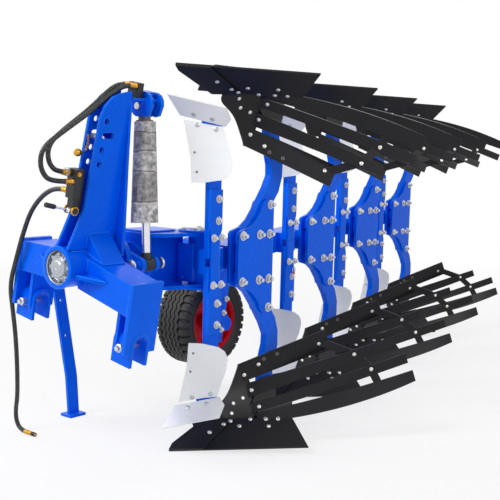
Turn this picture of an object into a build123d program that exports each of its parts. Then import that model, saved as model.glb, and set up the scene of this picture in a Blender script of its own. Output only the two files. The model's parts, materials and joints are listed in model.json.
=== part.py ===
"""Four-furrow reversible mouldboard plough, mounted on a tractor's three-point linkage.

Millimetres. +Z is up, the plough travels towards -Y and +X is its left side, to which the
lower bodies turn the soil. The floor is z = 0, where the lower shares' edges lie, and the
origin is the centre of the plan. The upper bodies mirror the lower ones in the level plane
through the beam. The headstock is rolled about the turnover axis, left side low, as it is
when the tractor's left wheels run in the furrow.
"""
from build123d import *
import math
import os

os.makedirs("parts", exist_ok=True)

# ---- layout -------------------------------------------------------------------------
body_count = 4
body_spacing = 1000.0        # between bodies, along the line of travel
furrow_width = 340.0         # cut by each body
axis_height = 890.0          # turnover axis and beam above the shares' edges
first_body_x = 397.0         # first body's leg, from the centre of the plan
first_body_y = -1147.0

# ---- headstock, in its own rolled frame: y from the tube's front face ------------------
axis_offset = 294.0          # turnover axis, to the right of the first body's leg
head_ahead = 1054.0          # tube's front face, ahead of the first body's leg
head_roll = 10.0
tube_radius = 88.0
tube_wall = 14.0
tube_length = 290.0
ring_radius = 92.0
ring_length = 16.0
arm_reach = 362.0            # cross-beam's half width, to its hitch plates
arm_front = 92.0             # front face of the cross-beam
arm_depth = 160.0
arm_wall = 12.0
arm_root_top = 58.0
arm_root_bottom = -88.0
arm_tip_top = 18.0
arm_tip_bottom = -118.0
hitch_plate = 20.0
hitch_drop = 280.0           # hitch plates' lower edge below the axis
inner_plate_x = 285.0        # inner hitch plate's inside face, from the mid-plane
inner_plate = 16.0
guide_bottom = 338.0         # lower edge of the cross-axle guides below the axis
guide_front = 120.0          # front face of a guide
guide_depth = 100.0
guide_wall = 14.0
guide_top = 192.0            # crown of a guide below the axis
lock_pin_radius = 10.0
lock_pin_drop = 262.0
mast_gap = 56.0              # between the two mast plates
mast_plate = 13.0
mast_top = 764.0             # above the turnover axis
link_hole_radius = 13.0      # top-link pin holes
link_hole_y = 141.0
link_hole_up = 632.0
slot_drop = 60.0             # slotted top-link hole below the round one
fork_plate = 15.0
fork_top = 738.0
fork_top_plate = 10.0
fork_crown = 766.0           # top of the fork's cheeks
fork_half = 46.0             # half width of the cylinder's fork plates
cylinder_y = 379.0           # plane that the cylinder swings in
pivot_up = 700.0             # cylinder's upper pin above the axis
crank_radius = 150.0         # cylinder's lower pin from the axis

# ---- turning parts -------------------------------------------------------------------
shaft_radius = 45.0
shaft_clearance = 1.0
disc_radius = 118.0
disc_front = 297.0
lug_plate = 22.0
lug_radius = 33.0
eye_half = 25.0              # half length of the rod's eye along its pin
lug_gap = 5.0                # between the eye and each lug
head_pin_radius = 15.0
pin_gap = 0.9                # from each pin's end to the eye
swivel_height = 128.0        # half height of the swivel frame
swivel_plate = 16.0
swivel_right = 118.0         # its right-hand edge, from the turnover axis
swivel_post_x = 144.0        # swivel post, left of the turnover axis
swivel_post_y = 724.0        # and behind the tube's front face
swivel_radius = 85.0
post_radius = 52.0
beam_size = 110.0
beam_wall = 10.0
beam_offset = 150.0          # beam's centre line right of the first leg, at the swivel post
beam_rear = 3120.0           # beam's rear end, behind the first leg

# ---- bodies, from each leg's own line: x to the left, y rearwards, z from the floor ------
leg_x = -35.0                # middle of the legs and of their plates
landside_x = -80.0           # plane of the bodies' land side
plate_thick = 16.0
leg_thick = 38.0
plate_front = 222.0          # leg plates reach this far ahead of the leg's line
plate_rear = 34.0
plate_half = 130.0           # half height of their square part
plate_ear = 262.0            # their ears' ends above and below the beam
leg_bolt_radius = 11.0
slat_thick = 8.0
share_thick = 10.0
point_thick = 18.0
share_pitch = 38.0           # the share's slope
bolt_head_radius = 9.0

# ---- skimmers, from the same lines as the bodies --------------------------------------------
stem_x = -13.0
stem_y = -392.0              # stem's centre line
stem_wide = 80.0
stem_thick = 26.0
stem_gap = 40.0              # between the upper and lower stems' ends, at the beam
stem_foot = 225.0            # stem's lower end, from the floor
clamp_half = 330.0
clamp_thick = 10.0
board_thick = 6.0
board_radius = 420.0

# ---- depth wheel ----------------------------------------------------------------------------
wheel_x = -710.0
wheel_y = 300.0
wheel_z = 448.0
tyre_radius = 252.0
tyre_width = 232.0
rim_radius = 160.0
rim_half = 96.0
hub_half = 60.0
hub_radius = 45.0
axle_radius = 22.0
axle_clearance = 0.05
wheel_arm_y = 5.0            # the arm's pivot, at the height of the turnover axis
wheel_arm_x = -524.0         # the arm's left face
wheel_arm_thick = 25.0
wheel_pin_radius = 20.0
strip_x = -424.0             # perforated strip on the beam's right-hand side
strip_thick = 10.0

# ---- stand -------------------------------------------------------------------------------
stand_x = -930.0
stand_foot_y = -428.0
stand_bend_y = -444.0
stand_bend_z = 210.0
stand_top_y = -576.0
stand_top_z = 930.0
stand_wide = 66.0
stand_thick = 15.0
foot_thick = 14.0
foot_long = 100.0
foot_wide = 80.0
socket_z = 800.0
socket_half = 60.0
socket_wall = 8.0
socket_gap = 0.4
stand_pin_radius = 8.0
carrier_size = 60.0
carrier_wall = 6.0

# ---- hoses ---------------------------------------------------------------------------------
hose_radius = 9.0
manifold_front = 300.0       # block on the cylinder's fork where two hoses end
valve_front = 20.0
valve_half = 24.0
lever_up = 248.0             # turnover valve's lever above the axis

part = {}

START = Pos(first_body_x, first_body_y, 0)
HEAD = START * Pos(-axis_offset, -head_ahead, axis_height) * Rot(0, head_roll, 0)
TURN = START * Pos(-axis_offset, -head_ahead, axis_height)
MIRROR = Plane(START.position + Vector(0, 0, axis_height), z_dir=(0, 0, 1))


def station(index):
    """The frame of a body's leg line at the floor."""
    return START * Pos(-furrow_width * index, body_spacing * index, 0)


def block(x0, x1, y0, y1, z0, z1):
    """A box between six planes."""
    middle = Pos((x0 + x1) / 2, (y0 + y1) / 2, (z0 + z1) / 2)
    return middle * Box(abs(x1 - x0), abs(y1 - y0), abs(z1 - z0))


def rod_y(radius, x, z, y0, y1):
    """A round bar along Y."""
    return Pos(x, (y0 + y1) / 2, z) * Rot(90, 0, 0) * Cylinder(radius, abs(y1 - y0))


def rod_x(radius, y, z, x0, x1):
    """A round bar along X."""
    return Pos((x0 + x1) / 2, y, z) * Rot(0, 90, 0) * Cylinder(radius, abs(x1 - x0))


def rod_z(radius, x, y, z0, z1):
    """A round bar along Z."""
    return Pos(x, y, (z0 + z1) / 2) * Cylinder(radius, abs(z1 - z0))


def side_plate(points, x0, x1):
    """A plate across X from an outline of (y, z) points."""
    face = Plane((x0, 0, 0), x_dir=(0, 1, 0), z_dir=(1, 0, 0)) * make_face(Polyline(*points, close=True))
    return extrude(face, x1 - x0, (1, 0, 0))


def front_plate(points, y0, y1):
    """A plate across Y from an outline of (x, z) points."""
    face = Plane((0, y0, 0), x_dir=(1, 0, 0), z_dir=(0, -1, 0)) * make_face(Polyline(*points, close=True))
    return extrude(face, y1 - y0, (0, 1, 0))


def mirrored(shape):
    """The same piece on the other side of the beam, for the upper bodies."""
    return mirror(shape, about=MIRROR)


def flip_x(shape):
    """The same piece across the headstock's mid-plane."""
    return mirror(shape, about=Plane.YZ)


# ---- headstock -----------------------------------------------------------------------------

def turnover_tube():
    outer = rod_y(tube_radius, 0, 0, 0, tube_length)
    outer += rod_y(ring_radius, 0, 0, 0, ring_length)
    return outer - rod_y(tube_radius - tube_wall, 0, 0, -1, tube_length + 1)


def arm_solid():
    """Outer shape of one arm of the cross-beam, drooping towards the tip."""
    root = tube_radius - 6
    outline = [(root - 40, arm_root_top), (arm_reach, arm_tip_top),
               (arm_reach, arm_tip_bottom), (root - 40, arm_root_bottom)]
    return front_plate(outline, arm_front, arm_front + arm_depth)


def cross_arm():
    """One hollow arm from the tube to its hitch plate."""
    root = tube_radius - 6
    hollow = [(root - 41, arm_root_top - arm_wall), (arm_reach - arm_wall, arm_tip_top - arm_wall),
              (arm_reach - arm_wall, arm_tip_bottom + arm_wall), (root - 41, arm_root_bottom + arm_wall)]
    rear = arm_front + arm_depth
    arm = arm_solid()
    arm -= front_plate(hollow, arm_front + arm_wall, rear - arm_wall)
    plate = mast_gap / 2 + mast_plate
    arm += front_plate([(plate + 0.2, 50), (plate + 0.2, 153), (157, 49), (157, 46)], 114, 236)
    web = plan_plate([(60, 26), (92, 26), (221, arm_front), (221, arm_front + 4), (60, arm_front + 4)], -24, -12)
    arm += web
    return arm - rod_y(tube_radius, 0, 0, -1, tube_length + 1)


def cross_beam():
    arm = cross_arm()
    return Compound(children=[arm, flip_x(arm)])


def hitch_bracket():
    """Left hitch bracket: outer and inner plates with the cross-axle guide through them."""
    rear = arm_front + arm_depth
    y_mid = guide_front + guide_depth / 2
    outer = block(arm_reach, arm_reach + hitch_plate, arm_front - 6, rear + 6, -hitch_drop, arm_tip_top + 8)
    inner = block(inner_plate_x, inner_plate_x + inner_plate, guide_front - 8, rear - 10,
                  -hitch_drop, arm_tip_bottom + 18)
    guide_end = arm_reach + hitch_plate + 4
    outline = block(inner_plate_x - 14, guide_end, guide_front, guide_front + guide_depth,
                    -guide_bottom, -guide_top - guide_depth / 2)
    crown = rod_x(guide_depth / 2, y_mid, -guide_top - guide_depth / 2, inner_plate_x - 14, guide_end)
    slot_half = guide_depth / 2 - guide_wall
    slot = block(inner_plate_x - 40, guide_end + 40, y_mid - slot_half, y_mid + slot_half,
                 -guide_bottom - 1, -guide_top - guide_depth / 2)
    slot += rod_x(slot_half, y_mid, -guide_top - guide_depth / 2, inner_plate_x - 40, guide_end + 40)
    bracket = outer + inner + outline + crown - slot - arm_solid()
    pin_x = (inner_plate_x + inner_plate + arm_reach) / 2
    bracket -= rod_y(lock_pin_radius + 0.3, pin_x, -lock_pin_drop, guide_front - 20, rear)
    return bracket


def lock_pin():
    pin_x = (inner_plate_x + inner_plate + arm_reach) / 2
    pin = rod_y(lock_pin_radius, pin_x, -lock_pin_drop, guide_front - 8, guide_front + guide_depth + 14)
    return pin + rod_y(18, pin_x, -lock_pin_drop, guide_front - 20, guide_front - 0.3)


def mast_outline():
    base = tube_radius - 4
    return [(14, base), (57, 201), (77, 259), (103, 640), (122, 695), (160, 735), (205, 752),
            (260, mast_top), (262, 700), (274, base)]


def mast_plate_left():
    inner = mast_gap / 2
    plate = side_plate(mast_outline(), inner, inner + mast_plate)
    plate -= rod_x(link_hole_radius, link_hole_y, link_hole_up, inner - 1, inner + mast_plate + 1)
    slot_z = link_hole_up - slot_drop
    for y in (link_hole_y - 5, link_hole_y + 36):
        plate -= rod_x(link_hole_radius, y, slot_z, inner - 1, inner + mast_plate + 1)
    plate -= block(inner - 1, inner + mast_plate + 1, link_hole_y - 5, link_hole_y + 36,
                   slot_z - link_hole_radius, slot_z + link_hole_radius)
    for y, z in ((132, 511), (127, 449)):
        plate -= rod_x(link_hole_radius, y, z, inner - 1, inner + mast_plate + 1)
    flange = front_plate([(inner, 60), (104, 60), (98, 171), (68, 467), (48, 700), (inner, 700)], 250, 276)
    flange &= side_plate([(262, 60), (276, 60), (263, 700), (251, 700)], inner, 110)
    plate += flange
    plate -= rod_y(ring_radius + 0.3, 0, 0, -1, ring_length + 0.3)
    return plate - rod_y(tube_radius + 0.3, 0, 0, -1, tube_length + 20)


def mast_plates():
    plate = mast_plate_left()
    return Compound(children=[plate, flip_x(plate)])


def cylinder_fork():
    """Web between the mast plates with the two ears that hold the cylinder's upper pin."""
    half = mast_gap / 2 - 0.3
    web = side_plate([(232, 330), (250, 330), (246, 700), (228, 700)], -half, half)
    front = cylinder_y - eye_half + 2 - fork_plate
    rear = cylinder_y + eye_half - 2 + fork_plate
    top = block(-fork_half, fork_half, 264, rear, fork_top - fork_top_plate, fork_top)
    neck = block(-half, half, 236, 270, fork_top - 60, fork_top)
    arch = [(-fork_half, pivot_up), (-fork_half, fork_crown - 12), (-34, fork_crown), (38, fork_crown),
            (60, fork_crown - 8), (76, fork_crown - 26), (82, fork_crown - 50), (70, pivot_up - 30), (fork_half, pivot_up - 40)]
    ears = []
    for y0 in (front, rear - fork_plate):
        ear = front_plate(arch, y0, y0 + fork_plate)
        ear += rod_y(fork_half, 0, pivot_up, y0, y0 + fork_plate)
        ears.append(ear)
    crown = block(-36, 40, front, rear, fork_crown - fork_top_plate, fork_crown)
    fork = web + neck + top + ears[0] + ears[1] + crown
    return fork - rod_y(head_pin_radius + 0.05, 0, pivot_up, front - 10, rear + 10)


def upper_pin():
    front = cylinder_y - eye_half - fork_plate - 6
    rear = cylinder_y + eye_half + fork_plate + 8
    return rod_y(head_pin_radius, 0, pivot_up, front, rear)


def valve_block():
    """Hose coupling block on the mast's front edge, with the locking lever's pivot boss."""
    block_body = block(-valve_half, valve_half, valve_front, valve_front + 40, 300, 424)
    boss = rod_x(14, 40, lever_up, -30, 30)
    web = block(-18, 18, 30, 76, lever_up - 10, 424)
    return block_body + web + boss


def lock_lever():
    arm = rod_y(6, 0, 0, -80, 0)
    grip = rod_y(11, 0, 0, -132, -78)
    lever = Pos(0, 30, lever_up) * Rot(-12, 0, 0) * (arm + grip)
    return lever - rod_x(14, 40, lever_up, -30, 30)


# ---- turnover cylinder ------------------------------------------------------------------------

crank_x = crank_radius * math.cos(math.radians(head_roll))
crank_up = crank_radius * math.sin(math.radians(head_roll))
cylinder_long = math.hypot(crank_x, pivot_up - crank_up)
cylinder_lean = math.degrees(math.atan2(crank_x, pivot_up - crank_up))
stroke = cylinder_long - (pivot_up - crank_radius)
barrel_radius = 38.0
barrel_eye = 25.0
barrel_end = 480.0           # barrel's lower end from its upper pin
wrap_top = 66.0
wrap_end = 507.0
wrap_top_radius = 45.0
wrap_radius = 66.0
rod_radius = 19.0
gland_length = 30.0
rod_length = 300.0           # rod's upper end above its eye
CYL = HEAD * Pos(0, cylinder_y, pivot_up) * Rot(0, -cylinder_lean, 0)


def cylinder_barrel():
    """Barrel hanging from the upper pin, bored for the rod."""
    half = eye_half - 3
    eye = rod_y(barrel_eye, 0, 0, -half, half)
    neck = block(-20, 20, -18, 18, -62, -12)
    tube = rod_z(barrel_radius, 0, 0, -barrel_end, -60)
    bore = rod_z(rod_radius + 0.05, 0, 0, -barrel_end - 1, -barrel_end + gland_length)
    bore += rod_z(rod_radius + 1, 0, 0, -barrel_end + gland_length - 1, -80)
    port = rod_x(11, 0, -110, -54, -30)
    return eye + neck + tube + port - bore - rod_y(head_pin_radius + 0.05, 0, 0, -40, 40)


def barrel_wrap():
    """Soft packing wound round the barrel, fuller towards its lower end."""
    turns = [(-wrap_top, wrap_top_radius), (-wrap_top - 150, wrap_top_radius + 4),
             (-wrap_end + 150, wrap_radius - 3), (-wrap_end, wrap_radius - 6)]
    profile = [(barrel_radius + 0.3, -wrap_top)] + [(r, z) for z, r in turns]
    profile.append((barrel_radius + 0.3, -wrap_end))
    face = Plane.XZ * make_face(Polyline(*profile, close=True))
    skin = revolve(face, Axis.Z)
    return skin - rod_x(11.5, 0, -110, -90, -30)


def cylinder_rod():
    """Chromed rod with its black clevis eye, drawn at full length."""
    return rod_z(rod_radius, 0, 0, -cylinder_long + 30, -cylinder_long + rod_length)


def rod_eye():
    eye = rod_y(31, 0, -cylinder_long, -eye_half, eye_half)
    collar = rod_z(25, 0, 0, -cylinder_long + 24, -cylinder_long + 52)
    return eye + collar - rod_z(rod_radius + 0.02, 0, 0, -cylinder_long + 30, -cylinder_long + 60)


# ---- turning head ------------------------------------------------------------------------------

def turnover_shaft():
    shaft = rod_y(shaft_radius, 0, 0, 8, disc_front)
    collar = rod_y(tube_radius - tube_wall - 0.05, 0, 0, 60, 110)
    collar += rod_y(tube_radius - tube_wall - 0.05, 0, 0, 220, 270)
    return shaft + collar


def castle_nut():
    nut = rod_y(66, 0, 0, 44, 59.5) + Pos(0, 44, 0) * Rot(90, 0, 0) * extrude(RegularPolygon(56, 6), 34)
    return nut - rod_y(shaft_radius, 0, 0, 0, 60)


def lug_arm(y0, y1):
    """Crank plate with its round lug at the lower cylinder pin."""
    hub = rod_y(disc_radius * 0.72, 0, 0, y0, y1)
    arm = front_plate([(0, -70), (crank_radius, -lug_radius), (crank_radius, lug_radius), (0, 80)], y0, y1)
    tip = rod_y(lug_radius, crank_radius, 0, y0, y1)
    return hub + arm + tip


def turning_head():
    """Hub disc, two crank plates and the bridge between them on the side away from the pin."""
    front_y = cylinder_y - eye_half - lug_gap
    rear_y = cylinder_y + eye_half + lug_gap
    head = rod_y(disc_radius, 0, 0, disc_front, front_y - lug_plate)
    head += lug_arm(front_y - lug_plate, front_y)
    head += lug_arm(rear_y, rear_y + lug_plate)
    bridge = block(-128, -72, front_y - lug_plate, rear_y + lug_plate, -62, 62)
    head += bridge
    for y0, y1 in ((front_y - 8 - lug_plate, cylinder_y - eye_half - pin_gap),
                   (cylinder_y + eye_half + pin_gap, rear_y + lug_plate + 16)):
        head += rod_y(head_pin_radius, crank_radius, 0, y0, y1)
    return head


def swivel_frame():
    """Top and bottom plates and web from the turning head to the swivel post."""
    rear_y = cylinder_y + eye_half + lug_gap + lug_plate
    outline = [(-swivel_right, rear_y), (105, rear_y), (150, rear_y + 60),
               (swivel_post_x + swivel_radius, swivel_post_y), (swivel_post_x + 40, swivel_post_y + 80),
               (swivel_post_x - 60, swivel_post_y + 70), (-swivel_right, rear_y + 150)]
    flat = make_face(Polyline(*outline, close=True))
    frame = None
    for z0 in (-swivel_height, swivel_height - swivel_plate):
        plate = extrude(Pos(0, 0, z0) * flat, swivel_plate)
        frame = plate if frame is None else frame + plate
    frame += block(-swivel_right, 105, rear_y, rear_y + 18, -swivel_height, swivel_height)
    web_top = swivel_height - swivel_plate + 1
    web = [(-60, rear_y), (-40, rear_y), (swivel_post_x - 87, swivel_post_y - 20),
           (swivel_post_x - 107, swivel_post_y - 20)]
    frame += extrude(Pos(0, 0, -web_top) * make_face(Polyline(*web, close=True)), 2 * web_top)
    return frame - rod_z(30, swivel_post_x, swivel_post_y, -400, 400)


def swivel_post():
    pin = rod_z(29.9, swivel_post_x, swivel_post_y, -swivel_height - 12, swivel_height + 12)
    cap = rod_z(44, swivel_post_x, swivel_post_y, swivel_height + 0.3, swivel_height + 16)
    low = rod_z(44, swivel_post_x, swivel_post_y, -swivel_height - 16, -swivel_height - 0.3)
    return pin + cap + low


# ---- beam, legs and bodies --------------------------------------------------------------------------

travel_angle = math.degrees(math.atan2(furrow_width, body_spacing))
post_y = swivel_post_y - head_ahead      # swivel post behind the first leg's line
BEAM = START * Pos(-beam_offset, post_y, axis_height) * Rot(0, 0, travel_angle)


def beam_x(y):
    """The beam's centre line at a distance behind the first leg."""
    return -beam_offset - (y - post_y) * furrow_width / body_spacing


def beam_side(y, side):
    """The beam's left (+1) or right (-1) face at a distance behind the first leg."""
    return beam_x(y) + side * beam_size / 2 / math.cos(math.radians(travel_angle))


def plan_plate(points, z0, z1):
    """A level plate from an outline of (x, y) points."""
    return extrude(Pos(0, 0, z0) * make_face(Polyline(*points, close=True)), z1 - z0)


def main_beam():
    """Square tube from the knuckle on the swivel post to the last body."""
    length = (beam_rear - post_y) / math.cos(math.radians(travel_angle))
    half = beam_size / 2
    tube = block(-half, half, 40, length, -half, half)
    tube -= block(-half + beam_wall, half - beam_wall, 60, length - beam_wall, -half + beam_wall, half - beam_wall)
    knuckle_half = swivel_height - swivel_plate - 1
    knuckle = rod_z(post_radius, 0, 0, -knuckle_half, knuckle_half)
    cheek = block(-half, half, 0, 60, -half, half)
    return tube + knuckle + cheek - rod_z(29.95, 0, 0, -300, 300)


def swivel_bracket():
    """Folded plate with three holes on the knuckle's front, for the width adjuster."""
    x, y = -beam_offset, post_y
    back = y - post_radius
    outer = [(x - 86, back - 4), (x - 66, back - 20), (x + 26, back - 20), (x + 26, back), (x - 12, back),
             (x - 12, back - 11), (x - 63, back - 11), (x - 80, back + 3)]
    plate = plan_plate(outer, axis_height - 105, axis_height + 75)
    for dx, z in ((-40, 50), (12, -15), (-40, -85)):
        plate -= rod_y(6, x + dx, axis_height + z, back - 30, back + 10)
    return plate


# ---- legs ------------------------------------------------------------------------------------

def leg_plate_outline():
    ear = plate_ear
    return [(-plate_front, plate_half - 12), (-plate_front + 12, plate_half), (-150, 146), (-100, 180),
            (-62, 225), (-46, ear), (-16, ear + 14), (plate_rear, ear - 4), (plate_rear, -ear + 4),
            (-16, -ear - 14), (-46, -ear), (-62, -225), (-100, -180), (-150, -146),
            (-plate_front + 12, -plate_half), (-plate_front, -plate_half + 12)]


def leg_plates():
    """The two plates that hold both legs of a station, and the wedge that joins them to the beam."""
    outline = [(y, z + axis_height) for y, z in leg_plate_outline()]
    left = leg_x + leg_thick / 2
    right = leg_x - leg_thick / 2
    plates = side_plate(outline, left, left + plate_thick) + side_plate(outline, right - plate_thick, right)
    y0, y1, x0 = -200, 0, right - plate_thick
    wedge = [(x0, y0), (x0, y1), (beam_side(y1, 1), y1), (beam_side(y0, 1), y0)]
    pad = plan_plate(wedge, axis_height - beam_size / 2, axis_height + beam_size / 2)
    spacer = block(right, left, -180, 0, axis_height - 50, axis_height + 50)
    return plates + pad + spacer


def lower_leg():
    """C-shaped leg from the plates down to the frog, as an outline of (y, z) from the floor."""
    outline = [(-190, 780), (-130, 720), (-80, 660), (-8, 560), (24, 500), (22, 450), (6, 400),
               (-14, 330), (-8, 250), (16, 190), (32, 150), (104, 150), (82, 200), (78, 310), (98, 380),
               (112, 440), (110, 510), (86, 580), (30, 650), (30, 822), (-190, 822)]
    return side_plate(outline, leg_x - leg_thick / 2, leg_x + leg_thick / 2)


# ---- bodies --------------------------------------------------------------------------------------
# slat: front, middle and rear centre points (x, y, z), the three widths there, and the leans of its
# face front and rear
SLATS = (
    ("A", (48, -112, 122), (280, 116, 190), (565, 460, 323), (48, 72, 54), -46, -8),
    ("B", (2, -100, 154), (222, 116, 254), (534, 435, 409), (52, 49, 49), -36, 2),
    ("C", (-44, -90, 231), (168, 82, 333), (440, 297, 467), (70, 59, 48), -22, 14),
    ("D", (-70, -98, 319), (51, 24, 390), (242, 180, 498), (90, 98, 110), -2, 22),
)


def slat(row):
    """A strip lofted through three sections across it, leaning with the soil's roll."""
    name, front, middle, rear, widths, lean_front, lean_rear = row
    points = [Vector(*p) for p in (front, middle, rear)]
    heads = [points[1] - points[0], points[2] - points[0], points[2] - points[1]]
    sections = []
    for step, (place, heading) in enumerate(zip(points, heads)):
        share_of = step / 2
        lean = math.radians(lean_front + (lean_rear - lean_front) * share_of)
        level = Vector(heading.X, heading.Y, 0).normalized()
        out = Vector(level.Y, -level.X, 0)
        across = Vector(0, 0, math.cos(lean)) + out * math.sin(lean)
        plane = Plane(place, x_dir=across, z_dir=heading.normalized())
        sections.append(plane * Rectangle(widths[step], slat_thick))
    return loft(Sketch() + sections)


# shin: ends of its rows, at the land side and behind the slats' front ends
SHIN = (
    ((landside_x, -276, 114), (40, -182, 111)),
    ((landside_x, -231, 165), (22, -68, 169)),
    ((landside_x, -183, 216), (-10, -60, 214)),
    ((landside_x, -156, 260), (-36, -56, 258)),
    ((landside_x, -132, 306), (-56, -60, 306)),
    ((landside_x, -114, 356), (-64, -68, 352)),
)


def shin():
    """Front plate of the mouldboard, from the land side to behind the slats' front ends."""
    sections = []
    for start, end in SHIN:
        start, end = Vector(*start), Vector(*end)
        across = end - start
        plane = Plane((start + end) * 0.5, x_dir=across.normalized(), z_dir=(0, 0.4, 1))
        sections.append(plane * Rectangle(across.length, slat_thick))
    return loft(Sketch() + sections)


share_tip = Vector(-152, -507, 0)
share_wing = Vector(336, -85, 30)
share_line = (share_wing - share_tip).normalized()
share_back = Vector(-share_line.Y, share_line.X, 0).normalized()
share_slope = math.radians(share_pitch)
share_up = share_back * math.cos(share_slope) + Vector(0, 0, math.sin(share_slope))
SHARE = Plane(share_tip, x_dir=share_line, z_dir=share_line.cross(share_up))


def on_share(points, z0, z1):
    """A plate parallel to the share's underside, from points (along the edge, up the slope)."""
    face = SHARE * make_face(Polyline(*points, close=True))
    return extrude(face.moved(Location(SHARE.z_dir * z0)), z1 - z0, SHARE.z_dir)


def share():
    return on_share([(158, 0), (648, 0), (582, 166), (300, 164)], 0, share_thick)


def point():
    return on_share([(0, 0), (157, 0), (299, 164), (166, 176), (14, 34)], 0, point_thick)


def frog(covers):
    """Carrier under the share and behind the shin, with the landside, on the leg's foot."""
    left = leg_x + leg_thick / 2
    right = leg_x - leg_thick / 2
    base = on_share([(140, 34), (560, 60), (520, 150), (400, 178), (100, 178)], -12, 0)
    upright = side_plate([(-215, 30), (-172, 112), (-126, 150), (-66, 215), (-40, 240), (-30, 290), (62, 290),
                          (96, 200), (96, 20), (-215, 20)], left, left + 12)
    landside = side_plate([(-345, 0), (-345, 60), (-215, 112), (300, 112), (300, 0)], right - 14, right)
    tie = block(right - 14, left + 12, 30, 90, 50, 140)
    solid = base + upright + landside + tie
    above = on_share([(-80, -40), (720, -40), (720, 181), (-80, 181)], 0, 60)
    solid -= above
    for cover in covers:
        solid -= cover
    return solid


# middle line of the brace across the slats' backs, at their rear bolts
BRACE = ((454, 331, 269), (409.5, 316.4, 350), (355, 241, 427), (201, 162, 480))
brace_wide = 40.0
brace_thick = 10.0


def brace(strips):
    """Flat bar that ties the slats together, cut flush with their backs."""
    out = Vector(0.64, -0.77, 0)
    solid = None
    for a, b in zip(BRACE, BRACE[1:]):
        a, b = Vector(*a), Vector(*b)
        along = (b - a).normalized()
        plane = Plane(a - along * 14, x_dir=out - along * out.dot(along), z_dir=along)
        bar = extrude(plane * Rectangle(brace_thick, brace_wide), (b - a).length + 28, along)
        solid = bar if solid is None else solid + bar
    for strip in strips:
        solid -= strip
    return max(solid.solids(), key=lambda piece: piece.volume)


# ---- skimmers --------------------------------------------------------------------------------------
SKIM_SHARE = Plane((-88, -621, 148), x_dir=(194, 169, 54), z_dir=(0.364, -0.635, 0.681))
SKIM_BOARD = Plane((-90, -515, 250), x_dir=(146, 118, 28), z_dir=(0.61, -0.764, -0.08))


def skimmer_share():
    outline = [(0, 0), (263, 0), (294, 60), (277, 106), (70, 102)]
    return extrude(SKIM_SHARE * make_face(Polyline(*outline, close=True)), -board_thick)


def skimmer_board():
    """Curved board: a cylinder's skin trimmed to its outline."""
    outline = make_face(Polyline((4, 4), (180, 4), (206, 64), (236, 123), (254, 180), (243, 214), (217, 236),
                                 (149, 258), (84, 270), (60, 160), close=True))
    prism = extrude(SKIM_BOARD * outline, 200, both=True)
    axis = SKIM_BOARD * Pos(130, 0, board_radius) * Rot(-90, 0, 0)
    skin = axis * (Cylinder(board_radius + board_thick, 800) - Cylinder(board_radius, 800))
    near = SKIM_BOARD * Box(500, 900, 240)
    return skin & prism & near


def skimmer_stem(board, blade):
    """Flat bar from the clamp down to the skimmer's foot."""
    y0, y1 = stem_y - stem_wide / 2, stem_y + stem_wide / 2
    top = axis_height - stem_gap / 2
    bar = block(stem_x - stem_thick / 2, stem_x + stem_thick / 2, y0, y1, stem_foot + 20, top)
    foot = side_plate([(y0, 440), (y0 - 46, 420), (y0 - 60, 262), (y1 - 20, 225), (y1, 300), (y1, 440)],
                      stem_x - stem_thick / 2, stem_x + stem_thick / 2)
    front = SKIM_BOARD * Pos(0, 0, 0) * Box(900, 1400, 400, align=(Align.CENTER, Align.CENTER, Align.MIN))
    return bar + foot - front - board - blade


def stem_clamp():
    """Waisted plate with slots over both stems' ends, and the wedge that joins it to the beam."""
    y0, y1 = stem_y - stem_wide / 2, stem_y + stem_wide / 2
    half = clamp_half
    face = stem_x + stem_thick / 2
    outline = [(y0, half), (y1, half), (y1, 150), (y1 - 14, 110), (y1 - 14, -110), (y1, -150), (y1, -half),
               (y0, -half), (y0, -150), (y0 + 14, -110), (y0 + 14, 110), (y0, 150)]
    plate = side_plate([(y, z + axis_height) for y, z in outline], face, face + clamp_thick)
    back = stem_x - stem_thick / 2
    wedge = [(back, y0 + 2), (back, post_y), (-60, -262), (beam_side(-262, 1), -262),
             (beam_side(y0 + 2, 1), y0 + 2)]
    pad = plan_plate(wedge, axis_height - beam_size / 2, axis_height + beam_size / 2)
    return plate, pad


# ---- depth wheel --------------------------------------------------------------------------------------

def wheel_bracket():
    """Box from the beam's right-hand side with the pin that the arm swings on."""
    end = wheel_arm_x + 10
    y0, y1 = wheel_arm_y - 50, wheel_arm_y + 50
    wedge = [(end, y0), (end, y1), (beam_side(y1, -1), y1), (beam_side(y0, -1), y0)]
    box = plan_plate(wedge, axis_height - 40, axis_height + 40)
    boss = rod_x(44, wheel_arm_y, axis_height, wheel_arm_x + 1, end)
    pin = rod_x(wheel_pin_radius, wheel_arm_y, axis_height, wheel_arm_x - wheel_arm_thick - 14, end)
    cap = rod_x(32, wheel_arm_y, axis_height, wheel_arm_x - wheel_arm_thick - 14, wheel_arm_x - wheel_arm_thick - 4)
    return box + boss + pin + cap


def depth_strip():
    """Perforated strip that hangs from the beam's right-hand side, for the depth setting."""
    x0 = strip_x - strip_thick / 2
    strip = side_plate([(122, 932), (198, 932), (196, 670), (146, 384), (118, 384), (118, 670)], x0, x0 + strip_thick)
    wedge = [(x0 + strip_thick, 126), (x0 + strip_thick, 194), (beam_side(194, -1), 194),
             (beam_side(126, -1), 126)]
    strip += plan_plate(wedge, 848, 932)
    for z in range(410, 650, 40):
        strip -= rod_x(7, 132 + (z - 384) * 0.09, z, x0 - 1, x0 + strip_thick + 1)
    return strip


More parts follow.
